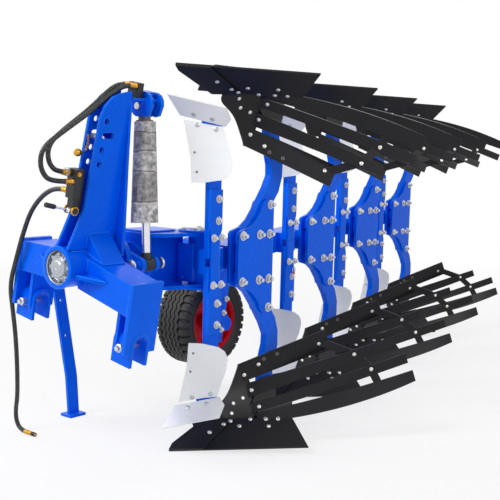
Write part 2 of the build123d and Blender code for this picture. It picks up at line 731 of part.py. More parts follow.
def wheel_arm():
    """Arm from the pivot to the stub axle."""
    x1 = wheel_arm_x
    x0 = wheel_arm_x - wheel_arm_thick
    dy, dz = wheel_y - wheel_arm_y, wheel_z - axis_height
    reach = math.hypot(dy, dz)
    ny, nz = dz / reach, -dy / reach
    outline = [(wheel_arm_y + ny * 42, axis_height + nz * 42), (wheel_y + ny * 34, wheel_z + nz * 34),
               (wheel_y - ny * 34, wheel_z - nz * 34), (wheel_arm_y - ny * 42, axis_height - nz * 42)]
    arm = side_plate(outline, x0, x1)
    arm += rod_x(48, wheel_arm_y, axis_height, x0 - 3, x1)
    arm += rod_x(38, wheel_y, wheel_z, x0 - 20, x1 + 4)
    arm -= rod_x(wheel_pin_radius + axle_clearance, wheel_arm_y, axis_height, x0 - 30, x1 + 30)
    end = wheel_x - hub_half
    arm += rod_x(axle_radius, wheel_y, wheel_z, end - 8, x0)
    return arm + rod_x(30, wheel_y, wheel_z, end - 10, end - 2)


def turned(profile):
    """A ring about the wheel's axle from a profile of (x from the middle, radius) points."""
    face = Plane.XZ * make_face(Polyline(*profile, close=True))
    return Pos(wheel_x, wheel_y, wheel_z) * revolve(face, Axis.X)


def wheel_rim():
    hub = [(-hub_half, axle_radius + axle_clearance), (hub_half, axle_radius + axle_clearance),
           (hub_half, hub_radius), (14, hub_radius), (10, 70), (22, 100), (22, rim_radius - 12),
           (rim_half, rim_radius - 12), (rim_half + 5, rim_radius + 6), (rim_half, rim_radius),
           (-rim_half, rim_radius), (-rim_half - 5, rim_radius + 6), (-rim_half, rim_radius - 12),
           (12, rim_radius - 12), (12, 100), (0, 70), (0, hub_radius), (-hub_half, hub_radius)]
    return turned(hub)


def tyre():
    half = tyre_width / 2
    outline = [(-rim_half, rim_radius), (-rim_half - 5, rim_radius + 6), (-half + 4, rim_radius + 18),
               (-half, rim_radius + 40),
               (-half, tyre_radius - 46), (-half + 10, tyre_radius - 16), (-half + 34, tyre_radius - 4),
               (0, tyre_radius), (half - 34, tyre_radius - 4), (half - 10, tyre_radius - 16),
               (half, tyre_radius - 46), (half, rim_radius + 40), (half - 4, rim_radius + 18),
               (rim_half + 5, rim_radius + 6), (rim_half, rim_radius)]
    return turned(outline)


# ---- stand ------------------------------------------------------------------------------------------------

stand_angle = math.atan2(stand_bend_y - stand_top_y, stand_top_z - stand_bend_z)
stand_line = Vector(0, -math.sin(stand_angle), math.cos(stand_angle))
socket_y = stand_bend_y - (socket_z - stand_bend_z) * math.tan(stand_angle)
SOCKET = Pos(stand_x, socket_y, socket_z) * Rot(math.degrees(stand_angle), 0, 0)


def stand_carrier():
    """Box arm from the swivel frame out to the stand's socket."""
    end = stand_x + stand_thick / 2 + socket_gap + socket_wall
    half = carrier_size / 2
    bottom = axis_height - swivel_height + swivel_plate
    root = -axis_offset - swivel_right + 60
    arm = block(end, root, socket_y - half, socket_y + half, bottom, bottom + carrier_size)
    arm -= block(end + 10, root + 1, socket_y - half + carrier_wall, socket_y + half - carrier_wall,
                 bottom + carrier_wall, bottom + carrier_size - carrier_wall)
    sleeve = SOCKET * Box(stand_thick + 2 * (socket_gap + socket_wall),
                          stand_wide + 2 * (socket_gap + socket_wall), 2 * socket_half)
    slot = SOCKET * Box(stand_thick + 2 * socket_gap, stand_wide + 2 * socket_gap, 4 * socket_half)
    hole = rod_x(stand_pin_radius + axle_clearance, socket_y, socket_z, stand_x - 60, stand_x)
    return arm + sleeve - slot - hole


def stand_pin():
    """Spring latch of the stand, in the sleeve's outer wall."""
    inside = stand_x - stand_thick / 2 - socket_gap
    return rod_x(stand_pin_radius, socket_y, socket_z, stand_x - 34, inside)


def stand_leg():
    """Flat bar, bent near the foot, with its foot plate and pin holes."""
    half = stand_wide / 2
    slip = half / math.cos(stand_angle)
    outline = [(stand_foot_y - half, foot_thick - 1), (stand_foot_y + half, foot_thick - 1),
               (stand_bend_y + slip, stand_bend_z), (stand_top_y + slip, stand_top_z),
               (stand_top_y - slip, stand_top_z), (stand_bend_y - slip, stand_bend_z)]
    leg = side_plate(outline, stand_x - stand_thick / 2, stand_x + stand_thick / 2)
    leg += block(stand_x - foot_wide / 2, stand_x + foot_wide / 2, stand_foot_y - foot_long / 2,
                 stand_foot_y + foot_long / 2, 0, foot_thick)
    for z in (430, 615, 800, 880):
        y = stand_bend_y - (z - stand_bend_z) * math.tan(stand_angle)
        leg -= rod_x(8.3, y, z, stand_x - 20, stand_x + 20)
    return leg


# ---- hoses, in the headstock's rolled frame --------------------------------------------------------

SUPPLY = ((12, valve_front, 373), (12, -89, 373), (9, -137, 406), (6, -156, 461), (4, -141, 517),
          (4, -56, 577), (5, 66, 658), (6, 124, 704), (9, 174, 746), (14, 220, 776), (18, 256, 786),
          (18, manifold_front, 786))
RETURN = ((-12, valve_front, 408), (-12, -45, 408), (-14, -87, 437), (-17, -104, 484), (-19, -91, 533),
          (-20, -24, 588), (-18, 60, 650), (-17, 122, 702), (-16, 170, 747), (-16, 214, 777), (-18, 254, 786),
          (-18, manifold_front, 786))
TRACTOR = ((-valve_half, 38, 324), (-96, 38, 324), (-190, 44, 276), (-274, 52, 184), (-322, 60, 70),
           (-356, 62, -70), (-398, 76, -200), (-414, 120, -330), (-414, 155, -470), (-420, 190, -640),
           (-436, 222, -790), (-456, 236, -872), (-452, 248, -938), (-412, 252, -964), (-372, 252, -957))
HOSES = (("hose_supply", SUPPLY), ("hose_return", RETURN), ("hose_tractor", TRACTOR))


def hose(points):
    """A round hose: straight runs joined by arcs as large as the two runs allow."""
    places = [Vector(*p) for p in points]
    radii = []
    for a, b, c in zip(places, places[1:], places[2:]):
        half_turn = math.radians((b - a).get_angle(c - b)) / 2
        radii.append(0.45 * min((b - a).length, (c - b).length) / math.tan(half_turn))
    path = FilletPolyline(*places, radius=radii)
    print("hose radii", [round(r) for r in radii], "length", round(path.length))
    return sweep(Plane(path @ 0, z_dir=path % 0) * Circle(hose_radius), path=path)


def hose_manifold():
    """Block on the fork's top plate where both hoses end."""
    return block(-32, 32, manifold_front, manifold_front + 30, fork_top, fork_top + 62)


def hose_coupling():
    """Coupling on the loose end, lying along the floor."""
    end = Vector(*TRACTOR[-1])
    along = (end - Vector(*TRACTOR[-2])).normalized()
    place = Plane(end, z_dir=along)
    body = extrude(place * Circle(11), 38)
    return body + extrude(place * Pos(0, 0, 38) * Circle(8), 34)


# ---- nodes -----------------------------------------------------------------------------------------------

def pair(shapes):
    """Lower pieces with their mirrored upper ones, for one node."""
    return [piece for shape in shapes for piece in (shape, mirrored(shape))]


boards = []
stations = [station(index) for index in range(body_count)]
low_slats = [slat(row) for row in SLATS]
low_brace = brace(low_slats)
low_shin = shin()
for cover in low_slats + [share(), point()]:
    low_shin -= cover
low_shin = max(low_shin.solids(), key=lambda solid: solid.volume)
low_frog = frog(low_slats + [low_shin])
low_leg = lower_leg() - low_frog
for strip in low_slats:
    low_leg -= strip
board, blade = skimmer_board(), skimmer_share()
blade -= board
per_station = {"shares": share(), "points": point(), "shins": low_shin, "frogs": low_frog, "legs": low_leg,
               "skimmer_boards": board, "skimmer_shares": blade, "skimmer_stems": skimmer_stem(board, blade)}
for name, shape in per_station.items():
    part[name] = Compound(children=pair([here * shape for here in stations]))
clamp_plate, clamp_pad = stem_clamp()
part["stem_clamps"] = Compound(children=[here * clamp_plate for here in stations])
part["stem_mounts"] = Compound(children=[here * clamp_pad for here in stations])
part["leg_plates"] = Compound(children=[here * leg_plates() for here in stations])
for index, here in enumerate(stations):
    part[f"slats_{index + 1}"] = Compound(children=pair([here * strip for strip in low_slats + [low_brace]]))

for name, builder in (("turnover_tube", turnover_tube), ("cross_beam", cross_beam), ("mast_plates", mast_plates),
                      ("cylinder_fork", cylinder_fork), ("upper_pin", upper_pin), ("valve_block", valve_block),
                      ("lock_lever", lock_lever), ("hose_manifold", hose_manifold),
                      ("hose_coupling", hose_coupling)):
    part[name] = HEAD * builder()
for name, points in HOSES:
    part[name] = HEAD * hose(points)
for name, builder in (("hitch_brackets", hitch_bracket), ("lock_pins", lock_pin)):
    piece = builder()
    part[name] = HEAD * Compound(children=[piece, flip_x(piece)])
for name, builder in (("cylinder_barrel", cylinder_barrel), ("barrel_wrap", barrel_wrap),
                      ("cylinder_rod", cylinder_rod), ("rod_eye", rod_eye)):
    part[name] = CYL * builder()
for name, builder in (("turnover_shaft", turnover_shaft), ("castle_nut", castle_nut),
                      ("turning_head", turning_head), ("swivel_frame", swivel_frame),
                      ("swivel_post", swivel_post)):
    part[name] = TURN * builder()
part["main_beam"] = BEAM * main_beam()
for name, builder in (("swivel_bracket", swivel_bracket), ("wheel_bracket", wheel_bracket),
                      ("depth_strip", depth_strip), ("wheel_arm", wheel_arm), ("wheel_rim", wheel_rim),
                      ("tyre", tyre), ("stand_carrier", stand_carrier), ("stand_leg", stand_leg),
                      ("stand_pin", stand_pin)):
    part[name] = START * builder()

for name, shape in part.items():
    export_step(shape, f"parts/{name}.step")
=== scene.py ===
"""Dresses a four-furrow reversible mouldboard plough round its fixed frame."""

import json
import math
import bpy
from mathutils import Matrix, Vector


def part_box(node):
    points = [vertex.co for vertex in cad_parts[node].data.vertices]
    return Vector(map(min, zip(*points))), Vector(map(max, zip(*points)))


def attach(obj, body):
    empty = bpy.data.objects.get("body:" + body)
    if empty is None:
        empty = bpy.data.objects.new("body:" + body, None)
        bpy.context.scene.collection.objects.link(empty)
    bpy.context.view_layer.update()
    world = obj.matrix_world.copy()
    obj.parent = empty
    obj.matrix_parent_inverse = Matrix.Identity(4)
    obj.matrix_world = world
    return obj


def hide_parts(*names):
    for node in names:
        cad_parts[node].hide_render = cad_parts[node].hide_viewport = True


bl_info = {
    "name": "Reversible Plough Dressing",
    "version": (1, 0, 0),
    "blender": (4, 5, 0),
    "location": "View3D > Sidebar > Plough",
    "description": "Adds bolts, hoses, tyre, welds, packing and paint to a reversible plough's frame",
    "category": "Object",
}

import bpy
from mathutils import Matrix, Vector, noise
from mathutils.bvhtree import BVHTree

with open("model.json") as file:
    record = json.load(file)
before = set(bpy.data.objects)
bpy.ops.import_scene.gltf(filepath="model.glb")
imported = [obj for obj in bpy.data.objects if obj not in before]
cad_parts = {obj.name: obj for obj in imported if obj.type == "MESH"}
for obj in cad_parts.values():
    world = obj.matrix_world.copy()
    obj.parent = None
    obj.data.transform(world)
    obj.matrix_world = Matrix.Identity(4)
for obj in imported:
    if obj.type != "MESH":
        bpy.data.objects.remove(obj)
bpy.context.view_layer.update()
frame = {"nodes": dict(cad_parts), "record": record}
NODES = frame["nodes"]

# Directions, and turns that lay a piece modelled along Z across the plough, along it or upside down.
LEFT, RIGHT, FRONT, UP = Vector((1, 0, 0)), Vector((-1, 0, 0)), Vector((0, -1, 0)), Vector((0, 0, 1))
ACROSS = Matrix.Rotation(math.radians(90), 4, "Y")
ALONG = Matrix.Rotation(math.radians(90), 4, "X")
FLIP = Matrix.Rotation(math.pi, 4, "X")

# Places shared with the part, in metres.
BODIES = 4
SPACING = 1.0
FURROW = 0.34
AXIS_HEIGHT = 0.89
HEAD_ROLL = math.radians(10)
CRANK = 0.15
PIVOT_HEIGHT = 0.7
SWIVEL_HALF = 0.128
TYRE_RADIUS = 0.252
TYRE_HALF = 0.116
START = Vector((0.397, -1.147, 0))
TURN = Matrix.Translation(START + Vector((-0.294, -1.054, AXIS_HEIGHT)))
HEAD = TURN @ Matrix.Rotation(HEAD_ROLL, 4, "Y")
LEAN = math.atan2(CRANK * math.cos(HEAD_ROLL), PIVOT_HEIGHT - CRANK * math.sin(HEAD_ROLL))
CYLINDER = HEAD @ Matrix.Translation((0, 0.379, PIVOT_HEIGHT)) @ Matrix.Rotation(-LEAN, 4, "Y")
WHEEL = Matrix.Translation(START + Vector((-0.71, 0.3, 0.448)))
BEAM_ANGLE = math.atan2(FURROW, SPACING)

# The packing's ends along the barrel, and its seams as shares of its length, each with the grey
# of the turn above it and of the turn below; along each seam lie a painted shadow line and a painted
# highlight.
WRAP_ENDS = (-0.067, -0.506)
WRAP_SEAMS = ((0.11, 0.95, 0.6), (0.29, 0.62, 0.85), (0.49, 0.82, 0.55), (0.79, 0.55, 0.98))

# Routes of the hoses, in millimetres in the headstock's own frame, and their lengths in metres.
HOSE_RADIUS = 0.0105
SUPPLY = ((12, 20, 373), (12, -89, 373), (9, -137, 406), (6, -156, 461), (4, -141, 517), (4, -56, 577),
          (5, 66, 658), (6, 124, 704), (9, 174, 746), (14, 220, 776), (18, 256, 786), (18, 300, 786))
RETURN = ((-12, 20, 408), (-12, -45, 408), (-14, -87, 437), (-17, -104, 484), (-19, -91, 533),
          (-20, -24, 588), (-18, 60, 650), (-17, 122, 702), (-16, 170, 747), (-16, 214, 777),
          (-18, 254, 786), (-18, 300, 786))
TRACTOR = ((-24, 38, 324), (-96, 38, 324), (-190, 44, 276), (-274, 52, 184), (-322, 60, 70), (-356, 62, -70),
           (-398, 76, -200), (-414, 120, -330), (-414, 155, -470), (-420, 190, -640), (-436, 222, -790),
           (-456, 236, -872), (-452, 248, -938), (-412, 252, -964), (-372, 252, -957))
HOSES = (("hose_supply", SUPPLY, 0.803), ("hose_return", RETURN, 0.689), ("hose_tractor", TRACTOR, 1.549))

# Bolts of one lower body, in millimetres from its leg's line at the floor.
PLOUGH_BOLTS = (
    ("points", ((-50, -341, 77), (-24, -272, 108), (-8, -240, 118))),
    ("shins", ((-62, -192, 124), (-42, -119, 201), (-66, -168, 176))),
    ("shares", ((33, -224, 101), (45, -160, 121), (109, -120, 129), (140, -136, 105), (153, -83, 131))),
    ("slats", ((83, -90, 117), (129, -52, 119), (455, 330, 267), (30, -77, 166), (414, 308, 353),
               (-24, -71, 235), (361, 234, 431), (-60, -88, 308), (-22, -29, 362), (210, 151, 468))),
)
SLAT_HOLES = ((6, -21, 390), (51, 24, 418))
SKIMMER_BOLTS = (("skimmer_boards", ((-36, -481, 274), (27, -427, 292))),
                 ("skimmer_shares", ((-38, -504, 230), (24, -450, 250))))
SKIMMER_HOLES = ((-26, -490, 481), (-38, -494, 395))
SOIL_SIDE = Vector((0.6, -0.75, 0.3))
SEAT_REACH = 0.045


def linear(colour):
    """Turns an sRGB hex colour into the linear colour that shaders take."""
    parts = [int(colour[i:i + 2], 16) / 255 for i in (1, 3, 5)]
    return tuple(p / 12.92 if p <= 0.04045 else ((p + 0.055) / 1.055) ** 2.4 for p in parts)


class PloughSizes(bpy.types.PropertyGroup):
    """Sizes of the pieces that a user would change."""
    plough_bolt: bpy.props.FloatProperty(
        name="Plough Bolt Head", description="Radius of a mouldboard bolt's head",
        default=0.0095, min=0.004, max=0.02, unit="LENGTH")
    leg_bolt: bpy.props.FloatProperty(
        name="Leg Bolt", description="Radius of the bolts through the leg plates",
        default=0.011, min=0.006, max=0.02, unit="LENGTH")
    weld_bead: bpy.props.FloatProperty(
        name="Weld Bead", description="Radius of the weld beads",
        default=0.0045, min=0.002, max=0.01, unit="LENGTH")
    tread_depth: bpy.props.FloatProperty(
        name="Tread Depth", description="Depth of the tyre's grooves",
        default=0.011, min=0.004, max=0.02, unit="LENGTH")
    wrap_creases: bpy.props.FloatProperty(
        name="Packing Creases", description="Depth of the creases at the packing's ends",
        default=0.0045, min=0.0, max=0.01, unit="LENGTH")


class PloughColours(bpy.types.PropertyGroup):
    """Colours of the finishes that a user would change."""
    paint: bpy.props.FloatVectorProperty(
        name="Frame Paint", description="Enamel on the frame, legs and headstock",
        subtype="COLOR", default=linear("#0061F2"), min=0, max=1)
    # the edge colour is a painted highlight: the enamel turns this paler blue along the plates' edges
    edge: bpy.props.FloatVectorProperty(
        name="Paint on Edges", description="Thinner enamel along the plates' edges",
        subtype="COLOR", default=linear("#2A93FF"), min=0, max=1)
    share: bpy.props.FloatVectorProperty(
        name="Soil Parts", description="Black coating of shares and slats",
        subtype="COLOR", default=linear("#131316"), min=0, max=1)
    skimmer: bpy.props.FloatVectorProperty(
        name="Skimmers", description="Pale coating of the skimmers",
        subtype="COLOR", default=linear("#ECEEF0"), min=0, max=1)
    rim: bpy.props.FloatVectorProperty(
        name="Wheel Rim", description="Enamel on the wheel rim",
        subtype="COLOR", default=linear("#D8120D"), min=0, max=1)
    tyre: bpy.props.FloatVectorProperty(
        name="Tyre", description="Rubber of the tyre",
        subtype="COLOR", default=linear("#211F1E"), min=0, max=1)
    packing: bpy.props.FloatVectorProperty(
        name="Packing", description="Foam film wound round the cylinder",
        subtype="COLOR", default=linear("#C6C2C0"), min=0, max=1)


# ---- small helpers ---------------------------------------------------------------------

def sizes():
    return bpy.context.scene.plough_sizes


def mm(x, y, z):
    return Vector((x, y, z)) / 1000


def station(index):
    """The point on the floor at a body's leg line."""
    return START + Vector((-FURROW * index, SPACING * index, 0))


def pick(*pieces):
    """Leaves only these objects selected, with the first one active."""
    bpy.ops.object.select_all(action="DESELECT")
    for piece in pieces:
        piece.select_set(True)
    bpy.context.view_layer.objects.active = pieces[0]


def edit(piece, chosen="DESELECT"):
    """Opens a piece's mesh for editing, with nothing or all of it selected."""
    pick(piece)
    bpy.ops.object.mode_set(mode="EDIT")
    bpy.ops.mesh.select_all(action=chosen)


def close():
    bpy.ops.object.mode_set(mode="OBJECT")


def smooth(piece, degrees=30):
    pick(piece)
    bpy.ops.object.shade_smooth_by_angle(angle=math.radians(degrees))


def apply_place(piece):
    """Moves a piece's place and turn into its mesh."""
    bpy.context.view_layer.update()
    pick(piece)
    bpy.ops.object.transform_apply(location=True, rotation=True, scale=True)


def bevelled(piece, width, segments=2, degrees=40):
    """Rounds a piece's edges."""
    pick(piece)
    rounding = piece.modifiers.new("Rounding", "BEVEL")
    rounding.width, rounding.segments = width, segments
    rounding.limit_method, rounding.angle_limit = "ANGLE", math.radians(degrees)
    bpy.ops.object.modifier_apply(modifier=rounding.name)


def turned(profile, steps=24):
    """A closed outline of (radius, along) points spun about Z."""
    bpy.ops.mesh.primitive_circle_add(vertices=len(profile), radius=1)
    ring = bpy.context.object
    for corner, (radius, along) in zip(ring.data.vertices, profile):
        corner.co = (radius, 0, along)
    edit(ring, "SELECT")
    bpy.ops.mesh.spin(steps=steps, angle=2 * math.pi, center=(0, 0, 0), axis=(0, 0, 1))
    bpy.ops.mesh.select_all(action="SELECT")
    bpy.ops.mesh.remove_doubles(threshold=1e-5)
    bpy.ops.mesh.dissolve_degenerate(threshold=1e-6)
    bpy.ops.mesh.delete_loose()
    bpy.ops.mesh.select_all(action="SELECT")
    bpy.ops.mesh.normals_make_consistent(inside=False)
    close()
    return ring


def bar(radius, length, sides=20, round_off=0.0):
    """A round or many-sided bar that stands on Z = 0."""
    bpy.ops.mesh.primitive_cylinder_add(vertices=sides, radius=radius, depth=length,
                                        location=(0, 0, length / 2))
    piece = bpy.context.object
    if round_off:
        bevelled(piece, round_off, 1, 50)
    apply_place(piece)
    return piece


def slab(width, depth, height, round_off):
    """A rounded block that stands on Z = 0."""
    bpy.ops.mesh.primitive_cube_add(size=1, location=(0, 0, height / 2), scale=(width, depth, height))
    piece = bpy.context.object
    apply_place(piece)
    bevelled(piece, round_off, 2, 30)
    return piece


def outline_plate(points, thickness):
    """A plate from an outline of (x, y) points, standing on Z = 0."""
    bpy.ops.mesh.primitive_circle_add(vertices=len(points), radius=1, fill_type="NGON")
    piece = bpy.context.object
    for corner, (x, y) in zip(piece.data.vertices, points):
        corner.co = (x, y, 0)
    edit(piece, "SELECT")
    bpy.ops.mesh.extrude_region_move(TRANSFORM_OT_translate={"value": (0, 0, thickness)})
    bpy.ops.mesh.select_all(action="SELECT")
    bpy.ops.mesh.normals_make_consistent(inside=False)
    close()
    return piece


def hex_bolt(radius, height, washer, stub=0.0):
    """A hexagon head or nut on its washer, with the thread's end if it has one."""
    parts = [bar(radius / math.cos(math.pi / 6), height, 6, height * 0.14),
             turned([(0, -0.0002), (washer, -0.0002), (washer, 0.0018), (washer - 0.0008, 0.0026),
                     (0, 0.0026)], 18)]
    if stub:
        parts.append(turned([(0, height - 0.001), (radius * 0.62, height - 0.001),
                             (radius * 0.62, height + stub - 0.001), (radius * 0.5, height + stub),
                             (0, height + stub)], 14))
    return joined(*parts)


def facing(spot, outward, turn=0.0):
    """A place at a spot with its Z axis pointing outward."""
    return (Matrix.Translation(spot) @ outward.to_track_quat("Z", "Y").to_matrix().to_4x4()
            @ Matrix.Rotation(turn, 4, "Z"))


def joined(*pieces):
    """Joins pieces that each have their own place into the first one."""
    bpy.context.view_layer.update()
    pick(*pieces)
    if len(pieces) > 1:
        bpy.ops.object.join()
    return bpy.context.view_layer.objects.active


def placed(piece, place):
    piece.matrix_world = place
    return piece


def copies(model, places):
    """Copies a modelled piece to each place and joins the copies."""
    made = []
    for place in places:
        twin = model.copy()
        twin.data = model.data.copy()
        twin.matrix_world = place
        bpy.context.collection.objects.link(twin)
        made.append(twin)
    bpy.data.objects.remove(model)
    return joined(*made)


def settled(piece, name, body, slot, finish=None, stands_for=(), crease=30):
    """Gives a piece its shading, name, body and finish, and hides the CAD nodes it stands for.

    Without a finish it takes its slot's own, and with no crease angle its faces stay flat."""
    if crease:
        smooth(piece, crease)
    apply_place(piece)
    piece.name = piece.data.name = name
    piece.data.materials.clear()
    piece.data.materials.append(FINISH[finish or FINISH_OF_SLOT[slot]])
    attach(piece, body)
    if stands_for:
        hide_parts(*stands_for)
    return piece


TREES = {}


def seat(name, spot, outward):
    """The nearest point on a node's outer face, and that face's normal."""
    if name not in TREES:
        TREES[name] = BVHTree.FromObject(NODES[name], bpy.context.evaluated_depsgraph_get())
    near = [(distance, place, normal)
            for place, normal, _, distance in TREES[name].find_nearest_range(spot, SEAT_REACH)
            if normal.dot(outward) > 0.5]
    if not near:
        raise RuntimeError(f"no face of {name} near {tuple(round(c, 3) for c in spot)}")
    _, place, normal = min(near, key=lambda found: found[0])
    return place, normal


def above_and_below(name, spot):
    """A bolt's place on a lower body's soil side, and the same place on the upper body."""
    face, normal = seat(name, spot, SOIL_SIDE)
    upper = Vector((face.x, face.y, 2 * AXIS_HEIGHT - face.z))
    return [facing(face, normal), facing(upper, Vector((normal.x, normal.y, -normal.z)))]


# ---- finishes ----------------------------------------------------------------------------

def node(owner, kind, settings=(), values=(), links=()):
    """Adds a shader node with its settings, input values and incoming links."""
    made = owner.node_tree.nodes.new(kind)
    for key, value in dict(settings).items():
        setattr(made, key, value)
    for key, value in dict(values).items():
        made.inputs[key].default_value = value
    for key, source in dict(links).items():
        owner.node_tree.links.new(source, made.inputs[key])
    return made


def finish(name):
    """An empty node material, with its object coordinates."""
    material = bpy.data.materials.new(name)
    material.use_nodes = True
    material.node_tree.nodes.clear()
    return material, node(material, "ShaderNodeTexCoord").outputs["Object"]


def surface(material, shader):
    node(material, "ShaderNodeOutputMaterial", links={"Surface": shader.outputs[0]})
    return material


def shade(colour, amount=1.0):
    """A linear colour made darker or paler, with its alpha."""
    return tuple(min(1.0, part * amount) for part in colour[:3]) + (1.0,)


def mottle(material, where, scale, detail, dark, pale):
    """Noise over a surface, and a colour that runs with it from dark to pale."""
    cloud = node(material, "ShaderNodeTexNoise", values={"Scale": scale, "Detail": detail},
                 links={"Vector": where})
    tone = node(material, "ShaderNodeMix", {"data_type": "RGBA"}, {6: dark, 7: pale},
                {0: cloud.outputs["Fac"]})
    return cloud.outputs["Fac"], tone.outputs[2]


def relief(material, where, scale, detail, strength, distance, under=()):
    """The normal of a fine grain, on its own or over the normal given as a link."""
    grain = node(material, "ShaderNodeTexNoise", values={"Scale": scale, "Detail": detail},
                 links={"Vector": where})
    skin = node(material, "ShaderNodeBump", values={"Strength": strength, "Distance": distance},
                links=dict(under, Height=grain.outputs["Fac"]))
    return skin.outputs["Normal"]


def edge_wear_and_highlight(material, tone, edge, radius, samples, fade, amount):
    """A colour that gives way to another along the plates' edges, and the normal that rounds them. On enamel
    the edge colour is a painted highlight; on the black coating it is wear.
    """
    round_edge = node(material, "ShaderNodeBevel", {"samples": samples}, {"Radius": radius})
    flat = node(material, "ShaderNodeNewGeometry")
    turn = node(material, "ShaderNodeVectorMath", {"operation": "DOT_PRODUCT"},
                links={0: round_edge.outputs["Normal"], 1: flat.outputs["True Normal"]})
    edge_share = node(material, "ShaderNodeMapRange", values={1: fade[0], 2: fade[1], 3: 0.0, 4: amount},
                links={0: turn.outputs["Value"]})
    coat = node(material, "ShaderNodeMix", {"data_type": "RGBA"}, {7: edge}, {0: edge_share.outputs[0], 6: tone})
    return coat.outputs[2], round_edge.outputs["Normal"]


def machine_enamel(name, colour, edge_highlight_colour, gloss=0.24):
    """Sprayed alkyd machine enamel: wet gloss over slight orange peel, with a painted highlight where plates
    end.
    """
    material, where = finish(name)
    dust, tone = mottle(material, where, 5.0, 4.0, shade(colour, 0.86), shade(colour, 1.1))
    # the plates' edges take the paler edge colour as a painted highlight
    paint, rounded = edge_wear_and_highlight(material, tone, shade(edge_highlight_colour), 0.005, 6, (0.995, 0.86), 0.85)
    # orange peel is about 3 mm across
    peel = relief(material, where, 330.0, 1.0, 0.05, 0.001, {"Normal": rounded})
    wipe = node(material, "ShaderNodeMapRange", values={3: gloss - 0.05, 4: gloss + 0.1}, links={0: dust})
    shader = node(material, "ShaderNodeBsdfPrincipled",
                  values={"IOR": 1.5, "Specular IOR Level": 0.3, "Specular Tint": shade(linear("#2A93FF"))},
                  links={"Base Color": paint, "Roughness": wipe.outputs[0], "Normal": peel})
    return surface(material, shader)


def black_coating(name, colour):
    """Black dip coating on hardened steel: satin, with fine dust and slightly greyer edges."""
    material, where = finish(name)
    _, tone = mottle(material, where, 9.0, 6.0, shade(colour, 0.7), shade(colour, 1.5))
    coat, rounded = edge_wear_and_highlight(material, tone, shade(linear("#55555A")), 0.0025, 4, (0.99, 0.85), 0.5)
    # grit of about 1.5 mm under the coating
    grit = relief(material, where, 650.0, 2.0, 0.12, 0.0008, {"Normal": rounded})
    shader = node(material, "ShaderNodeBsdfPrincipled",
                  values={"IOR": 1.45, "Specular IOR Level": 0.3, "Roughness": 0.36},
                  links={"Base Color": coat, "Normal": grit})
    return surface(material, shader)


def pale_coating(name, colour):
    """Clear-coated ground steel: pale and even, with a soft sheen and faint rolling marks."""
    material, where = finish(name)
    stretch = node(material, "ShaderNodeMapping", values={"Scale": (6.0, 6.0, 180.0)},
                   links={"Vector": where})
    marks, tone = mottle(material, stretch.outputs[0], 1.0, 3.0, shade(colour, 0.95), shade(colour, 1.02))
    round_edge = node(material, "ShaderNodeBevel", {"samples": 4}, {"Radius": 0.002})
    skin = node(material, "ShaderNodeBump", values={"Strength": 0.01, "Distance": 0.0005},
                links={"Height": marks, "Normal": round_edge.outputs["Normal"]})
    shader = node(material, "ShaderNodeBsdfPrincipled",
                  values={"Metallic": 0.2, "Roughness": 0.36, "Coat Weight": 0.15, "Coat Roughness": 0.15},
                  links={"Base Color": tone, "Normal": skin.outputs["Normal"]})
    return surface(material, shader)


def plated_steel(name, colour, gloss=0.28, spots=0.25):
    """Plated or machined metal: a soft shine, mottled where the surface clouds."""
    material, where = finish(name)
    cloud, tone = mottle(material, where, 120.0, 3.0, shade(colour, 1 - spots), shade(colour, 1.05))
    wipe = node(material, "ShaderNodeMapRange", values={3: gloss - 0.08, 4: gloss + 0.14}, links={0: cloud})
    skin = node(material, "ShaderNodeBump", values={"Strength": 0.06, "Distance": 0.0004},
                links={"Height": cloud})
    shader = node(material, "ShaderNodeBsdfPrincipled", values={"Metallic": 0.85},
                  links={"Base Color": tone, "Roughness": wipe.outputs[0], "Normal": skin.outputs["Normal"]})
    return surface(material, shader)


def foam_packing(name, colour):
    """Thin grey foam film wound on by hand: matt and crumpled, with painted shade in the folds' hollows,
    painted light on their ridges and pale stretched creases.
    """
    material, where = finish(name)
    crumple = node(material, "ShaderNodeTexNoise", values={"Scale": 38.0, "Detail": 6.0, "Roughness": 0.65},
                   links={"Vector": where})
    cells = node(material, "ShaderNodeTexVoronoi", {"feature": "DISTANCE_TO_EDGE"}, {"Scale": 70.0},
                 {"Vector": where})
    crease = node(material, "ShaderNodeMapRange", values={1: 0.0, 2: 0.06, 3: 1.0, 4: 0.0},
                  links={0: cells.outputs["Distance"]})
    patch = node(material, "ShaderNodeTexNoise", values={"Scale": 16.0, "Detail": 2.0},
                 links={"Vector": where})
    # the folds' height also sets the film's colour: painted shade in their hollows, painted light on their
    # ridges
    painted_fold_shade = node(material, "ShaderNodeMapRange", values={1: 0.34, 2: 0.66, 3: 0.0, 4: 1.0},
                    links={0: crumple.outputs["Fac"]})
    where_creased = node(material, "ShaderNodeMapRange", values={1: 0.5, 2: 0.62, 3: 0.0, 4: 0.6},
                         links={0: patch.outputs["Fac"]})
    pale = node(material, "ShaderNodeMath", {"operation": "MULTIPLY"},
                links={0: crease.outputs[0], 1: where_creased.outputs[0]})
    tone = node(material, "ShaderNodeMix", {"data_type": "RGBA"},
                {6: shade(colour, 0.3), 7: shade(colour, 1.75)}, {0: painted_fold_shade.outputs[0]})
    film = node(material, "ShaderNodeMix", {"data_type": "RGBA"}, {7: shade(linear("#D8D4D0"))},
                {0: pale.outputs[0], 6: tone.outputs[2]})
    banded = node(material, "ShaderNodeMix", {"data_type": "RGBA", "blend_type": "MULTIPLY"}, {0: 1.0},
                  {6: film.outputs[2], 7: turn_bands_and_painted_shadows(material, where, patch.outputs["Fac"])})
    folds = node(material, "ShaderNodeBump", values={"Strength": 1.0, "Distance": 0.009},
                 links={"Height": crumple.outputs["Fac"]})
    shader = node(material, "ShaderNodeBsdfPrincipled", values={"Roughness": 0.72, "Sheen Weight": 0.15},
                  links={"Base Color": banded.outputs[2], "Normal": folds.outputs["Normal"]})
    return surface(material, shader)


